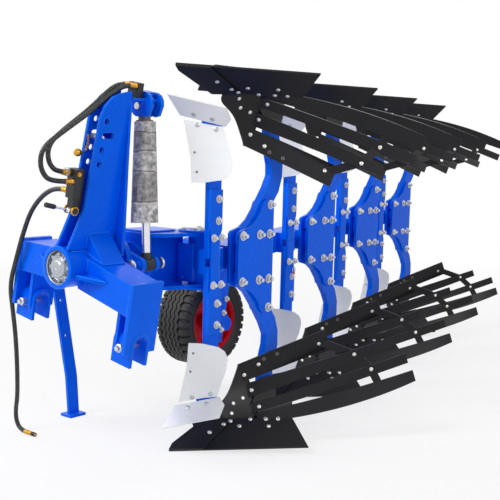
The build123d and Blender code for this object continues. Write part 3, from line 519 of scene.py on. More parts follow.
def turn_bands_and_painted_shadows(material, where, patch):
    """The greys of the packing's turns along the barrel, with a painted shadow line at each turn's edge and a
    painted highlight just below it.
    """
    axis = (CYLINDER.to_3x3() @ UP).normalized()
    top, foot = (axis.dot(CYLINDER @ Vector((0, 0, along))) for along in WRAP_ENDS)
    along = node(material, "ShaderNodeVectorMath", {"operation": "DOT_PRODUCT"}, {1: axis}, {0: where})
    stray = node(material, "ShaderNodeMath", {"operation": "MULTIPLY_ADD"}, {1: 0.03, 2: -0.015}, {0: patch})
    height = node(material, "ShaderNodeMath", {"operation": "ADD"},
                  links={0: along.outputs["Value"], 1: stray.outputs[0]})
    share = node(material, "ShaderNodeMapRange", values={1: top, 2: foot}, links={0: height.outputs[0]})
    bands = node(material, "ShaderNodeValToRGB", links={"Fac": share.outputs[0]})
    stops = [(0.0, 0.95)]
    for seam, before, after in WRAP_SEAMS:
        # each seam gets a painted shadow line (0.12) and, just below it, a painted highlight strip
        stops += [(seam - 0.012, before), (seam, 0.12), (seam + 0.01, 1.3 * after), (seam + 0.03, after)]
    stops.append((1.0, 0.85))
    while len(bands.color_ramp.elements) < len(stops):
        bands.color_ramp.elements.new(0.5)
    for stop, (place, grey) in zip(bands.color_ramp.elements, stops):
        stop.position, stop.color = place, (grey, grey, grey, 1)
    return bands.outputs["Color"]


def hose_rubber(name):
    """Synthetic rubber hose in a woven guard: black, with pale flecks along it painted as highlights on the
    braid.
    """
    material, where = finish(name)
    # the braid's flecks are about 7 mm apart
    fleck = node(material, "ShaderNodeTexVoronoi", values={"Scale": 150.0}, links={"Vector": where})
    painted_glint = node(material, "ShaderNodeMapRange", values={1: 0.1, 2: 0.32, 3: 1.0, 4: 0.0},
                 links={0: fleck.outputs["Distance"]})
    # the flecks' pale grey is a painted highlight on the braid
    tone = node(material, "ShaderNodeMix", {"data_type": "RGBA"},
                {6: shade(linear("#121315")), 7: shade(linear("#77787A"))}, {0: painted_glint.outputs[0]})
    weave = node(material, "ShaderNodeBump", values={"Strength": 0.5, "Distance": 0.002},
                 links={"Height": fleck.outputs["Distance"]})
    shader = node(material, "ShaderNodeBsdfPrincipled", values={"Roughness": 0.42},
                  links={"Base Color": tone.outputs[2], "Normal": weave.outputs["Normal"]})
    return surface(material, shader)


def tyre_rubber(name, colour):
    """Carbon-black tyre rubber: matt, greyed by dust in the tread."""
    material, where = finish(name)
    _, tone = mottle(material, where, 22.0, 6.0, shade(colour, 0.5), shade(colour, 1.5))
    # a grain of about 2 mm, coarser than the real one so that it shows
    skin = relief(material, where, 500.0, 2.0, 0.2, 0.001)
    shader = node(material, "ShaderNodeBsdfPrincipled", values={"Roughness": 0.62},
                  links={"Base Color": tone, "Normal": skin})
    return surface(material, shader)


def moulded_grip(name, colour):
    """Moulded plastic or rubber fitting: fine grain and a low sheen."""
    material, where = finish(name)
    grain, tone = mottle(material, where, 700.0, 2.0, shade(colour, 0.85), shade(colour, 1.15))
    skin = node(material, "ShaderNodeBump", values={"Strength": 0.15, "Distance": 0.0005},
                links={"Height": grain})
    shader = node(material, "ShaderNodeBsdfPrincipled", values={"Roughness": 0.45},
                  links={"Base Color": tone, "Normal": skin.outputs["Normal"]})
    return surface(material, shader)


FINISH = {}


def mix_finishes():
    """Makes every finish once, from the user's colours."""
    pot = bpy.context.scene.plough_colours
    FINISH.update(
        # each enamel's second colour is its painted highlight along the plates' edges
        blue=machine_enamel("alkyd_enamel_sprayed_blue", pot.paint, pot.edge),
        black=black_coating("black_dip_coating_on_steel", pot.share),
        pale=pale_coating("clear_coated_ground_steel", pot.skimmer),
        zinc=plated_steel("zinc_plated_steel", linear("#DEDDD8"), 0.3),
        silver=plated_steel("machined_steel_turned", linear("#BCC1C8"), 0.3, 0.2),
        chrome=plated_steel("hard_chrome_polished", linear("#E6E7EA"), 0.12, 0.04),
        brass=plated_steel("brass_turned", linear("#D9A23A"), 0.28, 0.3),
        barrel=machine_enamel("cylinder_enamel_grey", linear("#8E8779"), linear("#A39C8C"), 0.4),
        packing=foam_packing("foam_film_wound", pot.packing),
        hose=hose_rubber("braided_rubber_hose"),
        rim=machine_enamel("alkyd_enamel_sprayed_red", pot.rim, linear("#E03A30"), 0.26),
        tyre=tyre_rubber("tyre_rubber_moulded", pot.tyre),
        grip=moulded_grip("black_plastic_moulded", linear("#18191B")),
        tag=moulded_grip("red_plastic_moulded", linear("#D4151B")),
        pad=moulded_grip("grey_rubber_moulded", linear("#7A716F")),
    )


FINISH_OF_SLOT = {"blue_paint": "blue", "black_steel": "black", "bare_steel": "pale", "zinc": "zinc",
                  "chrome_rod": "chrome", "barrel_paint": "barrel", "packing": "packing",
                  "hose_rubber": "hose", "brass_fitting": "brass", "red_rim": "rim", "tyre": "tyre"}
FINISH_OF_NODE = {"turnover_shaft": "silver", "castle_nut": "silver", "rod_eye": "grip",
                  "hose_manifold": "grip", "valve_block": "grip"}


# ---- pieces ------------------------------------------------------------------------------

def tube(name, kind, points, radius, roundness):
    """A round tube along one open spline through or towards its points."""
    line = bpy.data.curves.new(name, "CURVE")
    line.dimensions = "3D"
    line.bevel_depth = radius
    line.bevel_resolution = roundness
    line.use_fill_caps = True
    spline = line.splines.new(kind)
    spline.points.add(len(points) - 1)
    for control, point in zip(spline.points, points):
        control.co = (*point, 1)
    piece = bpy.data.objects.new(name, line)
    bpy.context.collection.objects.link(piece)
    return piece, spline


def crimped_end(length=0.042):
    """A hose end's crimped shell and hexagon, standing on Z = 0 where the hose meets the block."""
    shell = turned([(0, 0.012), (0.0125, 0.012), (0.0125, 0.018), (0.0118, 0.02), (0.0125, 0.022),
                    (0.0125, 0.027), (0.0118, 0.029), (0.0125, 0.031), (0.0125, length - 0.002),
                    (0.0108, length), (0, length)], 20)
    return joined(shell, bar(0.0145, 0.0125, 6, 0.001))


class PLOUGH_OT_hoses(bpy.types.Operator):
    """Lays the three hydraulic hoses with their ends and the coupling"""
    bl_idname = "plough.hoses"
    bl_label = "Hydraulic Hoses"

    def execute(self, context):
        for name, route, length in HOSES:
            free_end = name == "hose_tractor"
            points = [HEAD @ mm(*point) for point in route]
            piece = self.hose(f"{name}_braided", points)
            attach(piece, "headstock")
            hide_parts(name)
            ends = [facing(points[0], (points[1] - points[0]).normalized())]
            if not free_end:
                ends.append(facing(points[-1], (points[-2] - points[-1]).normalized()))
            riding = [settled(copies(crimped_end(), ends), f"{name}_ends", "headstock", "brass_fitting",
                              crease=35)]
            if free_end:
                riding.append(self.coupling(points))
        return {"FINISHED"}

    def hose(self, name, points):
        """A hose along one smooth curve whose control points are the route's."""
        piece, spline = tube(name, "NURBS", points, HOSE_RADIUS, 4)
        spline.order_u = 3
        spline.use_endpoint_u = True
        piece.data.resolution_u = 12
        piece.data.materials.append(FINISH["hose"])
        return piece

    def coupling(self, points):
        """Quick coupling on the hose's end: turned brass body and a dust cap."""
        place = facing(points[-1], (points[-1] - points[-2]).normalized())
        body = turned([(0, -0.014), (0.0108, -0.014), (0.0112, 0.0), (0.0112, 0.012), (0.0095, 0.014),
                       (0.0095, 0.018), (0.0108, 0.02), (0.0108, 0.034), (0.0078, 0.038), (0.0078, 0.066),
                       (0.006, 0.07), (0, 0.07)], 28)
        settled(placed(body, place), "coupling_brass_body", "headstock", "brass_fitting",
                stands_for=("hose_coupling",))
        cap = turned([(0.008, 0.0385), (0.0099, 0.0385), (0.0105, 0.041), (0.0105, 0.058), (0.0088, 0.068),
                      (0.008, 0.068)], 28)
        settled(placed(cap, place), "coupling_dust_cap", "headstock", "hose_rubber", "grip")
        return body


class PLOUGH_OT_tyre(bpy.types.Operator):
    """Builds the depth wheel's tyre with zig-zag ribs and shoulder lugs"""
    bl_idname = "plough.tyre"
    bl_label = "Tyre"
    blocks = 34
    rib_half = 0.0115
    rib_swing = 0.0068
    lug_length = 0.029

    def execute(self, context):
        base = TYRE_RADIUS - sizes().tread_depth
        half = TYRE_HALF
        side = [(0.160, -0.096), (0.166, -0.101), (0.178, -half + 0.006), (0.183, -half + 0.004),
                (0.187, -half + 0.007), (0.205, -half + 0.001), (base - 0.036, -half + 0.001),
                (base - 0.012, -half + 0.012), (base - 0.003, -half + 0.034), (base, -0.03)]
        carcass = turned(side + [(radius, -across) for radius, across in reversed(side)], 96)
        ribs = [self.rib(base, across) for across in (-0.046, -0.0155, 0.0155, 0.046)]
        lugs = []
        for hand in (-1, 1):
            turns = [2 * math.pi * (step + hand * 0.25) / self.blocks for step in range(self.blocks)]
            lugs.append(copies(self.shoulder_lug(base, hand),
                               [Matrix.Rotation(turn, 4, "Z") for turn in turns]))
        tyre = placed(joined(carcass, *ribs, *lugs), WHEEL @ ACROSS)
        settled(tyre, "tyre_with_tread", "depth_wheel", "tyre", stands_for=("tyre",))
        return {"FINISHED"}

    def rib(self, base, across):
        """A zig-zag rib round the tread."""
        top, wide = TYRE_RADIUS, self.rib_half
        ring = turned([(base - 0.004, across - wide - 0.002), (top - 0.001, across - wide),
                       (top, across - wide + 0.002), (top, across + wide - 0.002),
                       (top - 0.001, across + wide), (base - 0.004, across + wide + 0.002)], self.blocks * 4)
        for corner in ring.data.vertices:
            turn = math.atan2(corner.co.y, corner.co.x) / (2 * math.pi) * self.blocks
            corner.co.z += self.rib_swing * (4 * abs(turn - math.floor(turn + 0.5)) - 1)
        return ring

    def shoulder_lug(self, base, hand):
        """One shoulder block, wrapping from the tread's edge over the shoulder."""
        top, half = TYRE_RADIUS, TYRE_HALF
        lug = outline_plate([(base - 0.036, hand * (half - 0.0005)), (base - 0.014, hand * half),
                             (top - 0.012, hand * (half - 0.008)), (top - 0.003, hand * (half - 0.022)),
                             (top, hand * (half - 0.034)), (top, hand * 0.066), (base - 0.006, hand * 0.064),
                             (base - 0.04, hand * (half - 0.02))], self.lug_length)
        edit(lug, "SELECT")
        bpy.ops.transform.translate(value=(0, 0, -self.lug_length / 2))
        close()
        apply_place(placed(lug, ALONG))
        bevelled(lug, 0.0015, 1)
        return lug


class PLOUGH_OT_wheel_trim(bpy.types.Operator):
    """Adds the rim's bolts, the hub cap and the arm's pivot nut"""
    bl_idname = "plough.wheel_trim"
    bl_label = "Wheel Bolts and Cap"
    bolts = 6
    bolt_circle = 0.118

    def execute(self, context):
        places = []
        for step in range(self.bolts):
            turn = WHEEL @ ACROSS @ Matrix.Rotation(2 * math.pi * (step + 0.3) / self.bolts, 4, "Z")
            places.append(turn @ Matrix.Translation((self.bolt_circle, 0, 0.021)))
            places.append(turn @ Matrix.Translation((self.bolt_circle, 0, 0.013)) @ FLIP)
        settled(copies(hex_bolt(0.0085, 0.008, 0.013), places), "rim_bolts", "depth_wheel", "zinc")
        cap = turned([(0.0, -0.004), (0.04, -0.004), (0.042, 0.0), (0.04, 0.006), (0.024, 0.011),
                      (0.0, 0.012)], 32)
        outer = WHEEL @ Matrix.Translation((-0.071, 0, 0)) @ Matrix.Rotation(math.radians(-90), 4, "Y")
        settled(placed(cap, outer), "hub_cap", "wheel_arm", "blue_paint", crease=40)
        pivot = START + Vector((-0.563, 0.005, AXIS_HEIGHT))
        nut = placed(hex_bolt(0.019, 0.014, 0.028), facing(pivot, RIGHT))
        settled(nut, "wheel_arm_pivot_nut", "turning_frame", "zinc")
        return {"FINISHED"}


class PLOUGH_OT_plough_bolts(bpy.types.Operator):
    """Sets the domed plough bolts into the shares, shins and slats of every body"""
    bl_idname = "plough.plough_bolts"
    bl_label = "Plough Bolts"
    plate_and_gap = 0.0085

    def execute(self, context):
        radius = sizes().plough_bolt
        places, spare = [], []
        for index in range(BODIES):
            foot = station(index)
            slats = f"slats_{index + 1}"
            for name, spots in PLOUGH_BOLTS:
                for spot in spots:
                    places += above_and_below(slats if name == "slats" else name, foot + mm(*spot))
            for spot in SLAT_HOLES:
                spare += above_and_below(slats, foot + mm(*spot))
        dome = turned([(0, -0.002), (radius, -0.002), (radius, 0.001), (radius * 0.82, 0.0022),
                       (radius * 0.45, 0.003), (0, 0.0032)], 14)
        settled(copies(dome, places), "plough_bolts", "turning_frame", "zinc")
        behind = [place @ Matrix.Translation((0, 0, -self.plate_and_gap)) @ FLIP for place in places]
        nuts = copies(hex_bolt(radius * 0.9, 0.009, radius * 1.1, 0.006), behind)
        settled(nuts, "plough_bolt_nuts", "turning_frame", "zinc")
        ring = turned([(0.0045, -0.001), (0.0085, -0.001), (0.0085, 0.0006), (0.0045, 0.0006)], 14)
        settled(copies(ring, spare), "slat_spare_holes", "turning_frame", "zinc", "pad", crease=0)
        return {"FINISHED"}


class PLOUGH_OT_skimmer_bolts(bpy.types.Operator):
    """Sets the domed bolts into the skimmers' boards and shares"""
    bl_idname = "plough.skimmer_bolts"
    bl_label = "Skimmer Bolts"

    def execute(self, context):
        places, spare = [], []
        for index in range(BODIES):
            foot = station(index)
            for name, spots in SKIMMER_BOLTS:
                for spot in spots:
                    places += above_and_below(name, foot + mm(*spot))
            for spot in SKIMMER_HOLES:
                spare += above_and_below("skimmer_boards", foot + mm(*spot))
        dome = turned([(0, -0.002), (0.0115, -0.002), (0.0115, 0.0008), (0.009, 0.0022), (0.0, 0.003)], 18)
        settled(copies(dome, places), "skimmer_bolts", "turning_frame", "bare_steel", "silver")
        disc = turned([(0, -0.001), (0.0055, -0.001), (0.0055, 0.0005), (0, 0.0005)], 14)
        settled(copies(disc, spare), "skimmer_spare_holes", "turning_frame", "zinc", "pad", crease=0)
        return {"FINISHED"}


class PLOUGH_OT_leg_bolts(bpy.types.Operator):
    """Adds the bolts through the leg plates, the stem clamps and the depth strip"""
    bl_idname = "plough.leg_bolts"
    bl_label = "Leg and Stem Bolts"
    leg_rows = tuple((y, rise) for y in (-191, -68, 5) for rise in (-109, 109)) + ((7, -250), (7, 250))
    stem_rows = ((-378, -288), (-378, -189), (-378, 189), (-378, 288),
                 (-406, 112), (-354, 112), (-406, -103), (-354, -103))
    strip_row = ((178, 612), (158, 540), (140, 452))
    grip = 70

    def execute(self, context):
        radius = sizes().leg_bolt
        nuts, heads, clamps = [], [], []
        for index in range(BODIES):
            foot = station(index)
            for y, rise in self.leg_rows:
                spot = foot + mm(0, y, 0) + Vector((0, 0, AXIS_HEIGHT + rise / 1000))
                nuts.append(facing(spot, LEFT, 0.4 * (y % 5)))
                heads.append(facing(spot + mm(-self.grip, 0, 0), RIGHT, 0.3))
            for y, rise in self.stem_rows:
                spot = foot + mm(10, y, 0) + Vector((0, 0, AXIS_HEIGHT + rise / 1000))
                clamps.append(facing(spot, LEFT, 0.2 * (y % 7)))
        strip = [facing(START + mm(-419, y, z), LEFT) for y, z in self.strip_row]
        for name, places, head, height, washer, stub in (
                ("leg_bolt_nuts", nuts, 1.4, 0.015, 2.05, 0.014),
                ("leg_bolt_heads", heads, 1.25, 0.011, 1.6, 0.0),
                ("stem_clamp_bolts", clamps, 1.2, 0.012, 1.7, 0.01),
                ("depth_strip_bolts", strip, 1.0, 0.01, 1.4, 0.008)):
            model = hex_bolt(radius * head, height, radius * washer, stub)
            settled(copies(model, places), name, "turning_frame", "zinc")
        return {"FINISHED"}


class PLOUGH_OT_packing(bpy.types.Operator):
    """Puts the foam packing round the cylinder's barrel as a plain sleeve with uneven ends"""
    bl_idname = "plough.packing"
    bl_label = "Cylinder Packing"
    sides = 72
    barrel = 0.030
    tight = 0.0455
    loose = 0.0115
    rise = 0.0045
    tuck = 0.004

    def execute(self, context):
        wrap = self.drum()
        for corner in wrap.data.vertices:
            corner.co = self.fitted(corner.co.copy())
        settled(placed(wrap, CYLINDER), "foam_packing_on_barrel", "cylinder", "packing",
                stands_for=("barrel_wrap",), crease=60)
        return {"FINISHED"}

    def drum(self):
        """A drum of radius and height 1 with its ends inset."""
        bpy.ops.mesh.primitive_cylinder_add(vertices=self.sides, radius=1, depth=1, end_fill_type="NGON")
        wrap = bpy.context.object
        bpy.context.tool_settings.mesh_select_mode = (False, False, True)
        for face in wrap.data.polygons:
            face.select = abs(face.normal.z) > 0.9
        bpy.ops.object.mode_set(mode="EDIT")
        bpy.ops.mesh.inset(thickness=0.35)
        close()
        bpy.context.tool_settings.mesh_select_mode = (True, False, False)
        return wrap

    def fitted(self, spot):
        """Where a corner of the drum lies on the sleeve, which is wider at its foot."""
        share = 0.5 - spot.z
        turn = math.atan2(spot.y, spot.x)
        radius = self.tight + self.loose * min(1.0, share * 1.5) + self.edge(share + 0.02 * math.sin(turn))
        crumple = noise.noise(Vector((math.cos(turn) * 2.2, math.sin(turn) * 2.2, share * 9)))
        fine = noise.noise(Vector((math.cos(turn) * 7, math.sin(turn) * 7, share * 26)))
        radius += sizes().wrap_creases * (crumple + 0.5 * fine)
        if math.hypot(spot.x, spot.y) < 0.8:
            radius = self.barrel
            share = 0.02 if share < 0.5 else 0.975
        high, low = WRAP_ENDS
        lean = Vector((-0.004 * share, 0, 0))
        return Vector((math.cos(turn) * radius, math.sin(turn) * radius, high + (low - high) * share)) + lean

    def edge(self, slant):
        """How far the film's slanting edge stands out at the sleeve's top or foot."""
        first, last = (0.0, WRAP_SEAMS[0][0]) if slant < 0.5 else (WRAP_SEAMS[-1][0], 1.01)
        if not first <= slant < last:
            return 0.0
        inside = (slant - first) / (last - first)
        return self.rise * min(1.0, inside * 12) - self.tuck * max(0.0, inside * 8 - 7)


class PLOUGH_OT_turnover_hub(bpy.types.Operator):
    """Adds the shaft's end cap, castellated ring, the seal, the tube's face ring and the crank's pin heads"""
    bl_idname = "plough.turnover_hub"
    bl_label = "Turnover Hub"
    teeth = 8
    pin_ends = ((0.2915, -1), (0.4615, 1))

    def execute(self, context):
        front = TURN @ ALONG
        cap = turned([(0, -0.01), (0.044, -0.01), (0.044, 0.004), (0.041, 0.008), (0.03, 0.009),
                      (0.026, 0.0125), (0.006, 0.013), (0.004, 0.011), (0, 0.011)], 48)
        ring = turned([(0.0455, -0.045), (0.066, -0.045), (0.066, -0.024), (0.062, -0.02),
                       (0.0455, -0.02)], 48)
        seal = turned([(0.0665, -0.058), (0.0735, -0.058), (0.0735, -0.006), (0.0715, -0.003),
                       (0.069, -0.006), (0.0665, -0.03)], 64)
        for piece, place in ((cap, front @ Matrix.Translation((0, 0, -0.01))), (ring, front), (seal, front)):
            smooth(placed(piece, place))
        turns = [2 * math.pi * step / self.teeth for step in range(self.teeth)]
        teeth = copies(slab(0.014, 0.013, 0.012, 0.0015),
                       [front @ Matrix.Rotation(turn, 4, "Z") @ Matrix.Translation((0.056, 0, -0.0215))
                        for turn in turns])
        settled(joined(cap, ring, teeth, seal), "turnover_nut_and_cap", "turning_frame", "bare_steel",
                "silver", crease=0)
        face = turned([(0.0745, -0.003), (0.0905, -0.003), (0.0915, 0.0), (0.0905, 0.0004),
                       (0.0755, 0.0004)], 64)
        settled(placed(face, HEAD @ ALONG), "tube_face_ring", "headstock", "blue_paint")
        pins = [facing(TURN @ Vector((CRANK, along, 0)), Vector((0, outward, 0)))
                for along, outward in self.pin_ends]
        dome = turned([(0, -0.004), (0.024, -0.004), (0.027, 0.002), (0.026, 0.007), (0.018, 0.012),
                       (0, 0.014)], 28)
        settled(copies(dome, pins), "crank_pin_heads", "turning_frame", "zinc", "silver")
        return {"FINISHED"}


class PLOUGH_OT_welds(bpy.types.Operator):
    """Lays the weld beads on the headstock and the turning frame"""
    bl_idname = "plough.welds"
    bl_label = "Weld Beads"
    ripple = 0.006

    def execute(self, context):
        tube_radius, mast_half = 0.088, 0.041
        foot = math.sqrt(tube_radius ** 2 - mast_half ** 2)
        lines = []
        for side in (-1, 1):
            for line in (((0.043, 0.03, foot), (0.043, 0.25, foot)),
                         ((0.041, 0.114, 0.152), (0.041, 0.236, 0.155)),
                         ((0.041, 0.112, 0.15), (0.041, 0.112, 0.09)),
                         ((0.16, 0.112, 0.047), (0.16, 0.237, 0.047)),
                         ((0.0435, 0.112, 0.074), (0.157, 0.112, 0.048)),
                         ((0.089, 0.092, -0.06), (0.089, 0.092, 0.05)),
                         ((0.092, 0.03, -0.011), (0.218, 0.09, -0.011)),
                         ((0.362, 0.091, -0.118), (0.362, 0.091, 0.018), (0.362, 0.25, 0.019)),
                         ((0.3, 0.112, -0.1), (0.286, 0.112, -0.1), (0.286, 0.24, -0.1))):
                lines.append([HEAD @ Vector((side * x, y, z)) for x, y, z in line])
        for up in (0.331, 0.699):
            lines.append([HEAD @ Vector((x, 0.231, up)) for x in (-0.028, 0.028)])
        self.lay(lines, "headstock_welds", "headstock")
        lines = []
        for up in (-0.128, 0.128):
            lines.append([TURN @ Vector((x, 0.449, up * 0.87)) for x in (-0.118, 0.105)])
            lines.append([TURN @ Vector((x, y, up * 0.868)) for x, y in ((-0.045, 0.451), (0.055, 0.7))])
        for index in range(BODIES):
            leg = station(index) + Vector((0, 0, AXIS_HEIGHT))
            for up in (-0.056, 0.056):
                lines.append([leg + Vector((-0.071, y, up)) for y in (-0.198, -0.002)])
        self.lay(lines, "turning_frame_welds", "turning_frame")
        return {"FINISHED"}

    def lay(self, lines, name, body):
        """Lays a bead along each line and joins them into one piece."""
        settled(joined(*(self.bead(line) for line in lines)), name, body, "blue_paint", crease=60)

    def bead(self, points):
        """A weld bead along points, as a thin tube with ripples."""
        steps = []
        for first, last in zip(points, points[1:]):
            count = max(2, int((last - first).length / self.ripple))
            steps += [first.lerp(last, step / count) for step in range(count)]
        steps.append(points[-1])
        piece, spline = tube("bead", "POLY", steps, sizes().weld_bead, 2)
        for number, control in enumerate(spline.points):
            control.radius = 0.82 + 0.36 * (number % 2)
        pick(piece)
        bpy.ops.object.convert(target="MESH")
        return bpy.context.view_layer.objects.active


class PLOUGH_OT_headstock_trim(bpy.types.Operator):
    """Adds the lever, the valve's fittings, the hitch pins and the link pin with its chain"""
    bl_idname = "plough.headstock_trim"
    bl_label = "Headstock Trim"
    lever_rise = math.radians(12)
    link_pitch = 0.0075

    def execute(self, context):
        roll = HEAD.to_3x3()
        side, ahead = roll @ LEFT, roll @ FRONT
        lever = turned([(0, -0.004), (0.0045, -0.004), (0.0045, 0.08), (0, 0.08)], 16)
        ball = turned([(0, -0.012), (0.009, -0.009), (0.0115, -0.002), (0.0115, 0.005), (0.008, 0.011),
                       (0, 0.013)], 24)
        out = (roll @ Vector((0, -math.cos(self.lever_rise), math.sin(self.lever_rise)))).normalized()
        pivot = facing(HEAD @ Vector((0, 0.03, 0.248)), out)
        settled(placed(joined(lever, ball), pivot), "lock_lever_rod", "headstock", "chrome_rod",
                stands_for=("lock_lever",))
        grip = turned([(0, 0.078), (0.0085, 0.078), (0.0105, 0.083), (0.0105, 0.122), (0.0112, 0.127),
                       (0.009, 0.131), (0, 0.132)], 24)
        settled(placed(grip, pivot), "lock_lever_grip", "headstock", "hose_rubber", "grip")
        boss = turned([(0.0142, -0.004), (0.0185, -0.004), (0.019, 0.0), (0.0185, 0.004),
                       (0.0142, 0.004)], 28)
        bosses = [facing(HEAD @ Vector((x, 0.04, 0.248)), side) for x in (-0.024, 0.024)]
        settled(copies(boss, bosses), "valve_boss_rings", "headstock", "brass_fitting")
        knob = turned([(0, 0.0), (0.006, 0.0), (0.006, 0.012), (0.0135, 0.014), (0.0165, 0.02),
                       (0.0165, 0.03), (0.0125, 0.037), (0.005, 0.039), (0, 0.039)], 24)
        settled(placed(knob, facing(HEAD @ Vector((-0.034, 0.092, 0.486)), ahead)), "brass_locking_knob",
                "headstock", "brass_fitting")
        pin = turned([(0, -0.036), (0.0105, -0.036), (0.0122, -0.033), (0.0122, 0.04), (0.0095, 0.044),
                      (0, 0.044)], 24)
        settled(placed(pin, facing(HEAD @ Vector((-0.004, 0.128, 0.561)), side)), "link_pin", "headstock",
                "zinc")
        self.chain()
        self.hitch_pins(ahead)
        clamp = placed(slab(0.024, 0.02, 0.034, 0.003), HEAD @ Matrix.Translation((-0.012, 0.004, 0.391)))
        settled(clamp, "hose_clamp", "headstock", "zinc", "silver", crease=0)
        for number, (x, up) in enumerate(((-0.0245, 0.336), (0.0245, 0.404))):
            place = facing(HEAD @ Vector((x, 0.04, up)), roll @ Vector((math.copysign(1, x), 0, 0)))
            settled(placed(hex_bolt(0.008, 0.007, 0.0105), place), f"valve_plug_{number + 1}", "headstock",
                    "brass_fitting")
        return {"FINISHED"}

    def chain(self):
        """Short chain from the link pin down to the knob, of bent wire links."""
        bpy.ops.mesh.primitive_torus_add(major_segments=14, minor_segments=6, major_radius=0.0046,
                                         minor_radius=0.0011)
        link = bpy.context.object
        for corner in link.data.vertices:
            corner.co.x *= 1.45
        places = []
        for step in range(9):
            spot = (-0.02, 0.1 + 0.004 * math.sin(step * 0.5), 0.56 - self.link_pitch * step)
            places.append(HEAD @ Matrix.Translation(spot) @ ACROSS
                          @ Matrix.Rotation(math.radians(90 * (step % 2)), 4, "X"))
        settled(copies(link, places), "pin_chain", "headstock", "brass_fitting", crease=60)

    def hitch_pins(self, ahead):
        """Domed heads on the hitch lock pins, halfway between each bracket's plates."""
        pin_x = (0.285 + 0.016 + 0.362) / 2
        places = [facing(HEAD @ Vector((side * pin_x, 0.1, -0.262)), ahead) for side in (-1, 1)]
        head = turned([(0, -0.002), (0.0185, -0.002), (0.0185, 0.003), (0.013, 0.007), (0.011, 0.016),
                       (0.0, 0.018)], 24)
        settled(copies(head, places), "hitch_pin_heads", "headstock", "zinc")


class PLOUGH_OT_swivel_trim(bpy.types.Operator):
    """Adds the swivel post's cover plates with their bolts, and the frame's top plate"""
    bl_idname = "plough.swivel_trim"
    bl_label = "Swivel Trim"
    bolt_circle = 0.074

    def execute(self, context):
        post = TURN @ Vector((0.144, 0.724, 0))
        plate = turned([(0.045, 0.0), (0.098, 0.0), (0.1, 0.003), (0.098, 0.009), (0.045, 0.009)], 48)
        high = Matrix.Translation(post + UP * SWIVEL_HALF)
        low = Matrix.Translation(post - UP * SWIVEL_HALF) @ FLIP
        settled(copies(plate, [high, low]), "swivel_cover_plates", "turning_frame", "blue_paint")
        places = []
        for step in range(4):
            turn = math.radians(45 + 90 * step)
            ring = Vector((math.cos(turn), math.sin(turn), 0)) * self.bolt_circle
            for outward in (UP, -UP):
                places.append(facing(post + ring + outward * 0.137, outward, turn))
        places.append(facing(post + UP * 0.144, UP))
        settled(copies(hex_bolt(0.0095, 0.008, 0.0135), places), "swivel_bolts", "turning_frame", "zinc")
        cover = outline_plate([(-0.105, 0.0), (0.055, 0.0), (0.075, 0.03), (0.08, 0.16), (0.05, 0.2),
                               (-0.09, 0.2), (-0.105, 0.17)], 0.008)
        bevelled(cover, 0.002, 2, 30)
        settled(placed(cover, TURN @ Matrix.Translation((0.0, 0.46, SWIVEL_HALF))), "swivel_top_plate",
                "turning_frame", "blue_paint", crease=0)
        return {"FINISHED"}


class PLOUGH_OT_beam_trim(bpy.types.Operator):
    """Adds the rubber pads on the beam, the linch pin with its tag and the stand's latch knob"""
    bl_idname = "plough.beam_trim"
    bl_label = "Beam and Stand Trim"
    pad_height = 0.088

    def execute(self, context):
        along = Matrix.Rotation(BEAM_ANGLE, 4, "Z")
        places = []
        for index in range(BODIES):
            spot = station(index) + mm(-112, -232, 0) + Vector((0, 0, AXIS_HEIGHT))
            face, _ = seat("main_beam", spot, along.to_3x3() @ LEFT)
            places.append(Matrix.Translation((face.x, face.y, AXIS_HEIGHT - self.pad_height / 2)) @ along)
        pads = copies(slab(0.006, 0.05, self.pad_height, 0.002), places)
        settled(pads, "beam_side_pads", "turning_frame", "bare_steel", "pad", crease=0)
        spot = station(1) + mm(26, -378, 0) + Vector((0, 0, AXIS_HEIGHT - 0.15))
        bpy.ops.mesh.primitive_torus_add(major_segments=28, minor_segments=8, major_radius=0.013,
                                         minor_radius=0.0016)
        ring = placed(bpy.context.object, facing(spot, LEFT))
        stem = turned([(0, 0.0), (0.004, 0.0), (0.004, 0.02), (0, 0.021)], 12)
        pin = joined(ring, placed(stem, facing(spot + mm(-17, 0, 13), LEFT)))
        settled(pin, "linch_pin", "turning_frame", "zinc", crease=40)
        tag = placed(slab(0.004, 0.014, 0.016, 0.0015), Matrix.Translation(spot + mm(0, 0, -24)))
        settled(tag, "linch_pin_tag", "turning_frame", "red_rim", "tag", crease=0)
        latch = turned([(0, 0.0), (0.0105, 0.0), (0.0105, 0.004), (0.0065, 0.006), (0.0065, 0.018),
                        (0.0115, 0.02), (0.0115, 0.026), (0, 0.027)], 20)
        low, high = (Vector(corner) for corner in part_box("stand_pin"))
        middle = (low + high) / 2
        settled(placed(latch, facing(Vector((low.x, middle.y, middle.z)), RIGHT)), "stand_latch_knob",
                "turning_frame", "zinc")
        return {"FINISHED"}


class PLOUGH_OT_frame_finishes(bpy.types.Operator):
    """Paints and plates the frame's own parts"""
    bl_idname = "plough.frame_finishes"
    bl_label = "Frame Finishes"

    def execute(self, context):
        slots = {part["node"]: part["material_slot"] for part in frame["record"]["subparts"]}
        for name, part in NODES.items():
            chosen = FINISH[FINISH_OF_NODE.get(name) or FINISH_OF_SLOT[slots[name]]]
            for slot in part.material_slots:
                slot.material = chosen
            if not part.material_slots:
                part.data.materials.append(chosen)
        return {"FINISHED"}


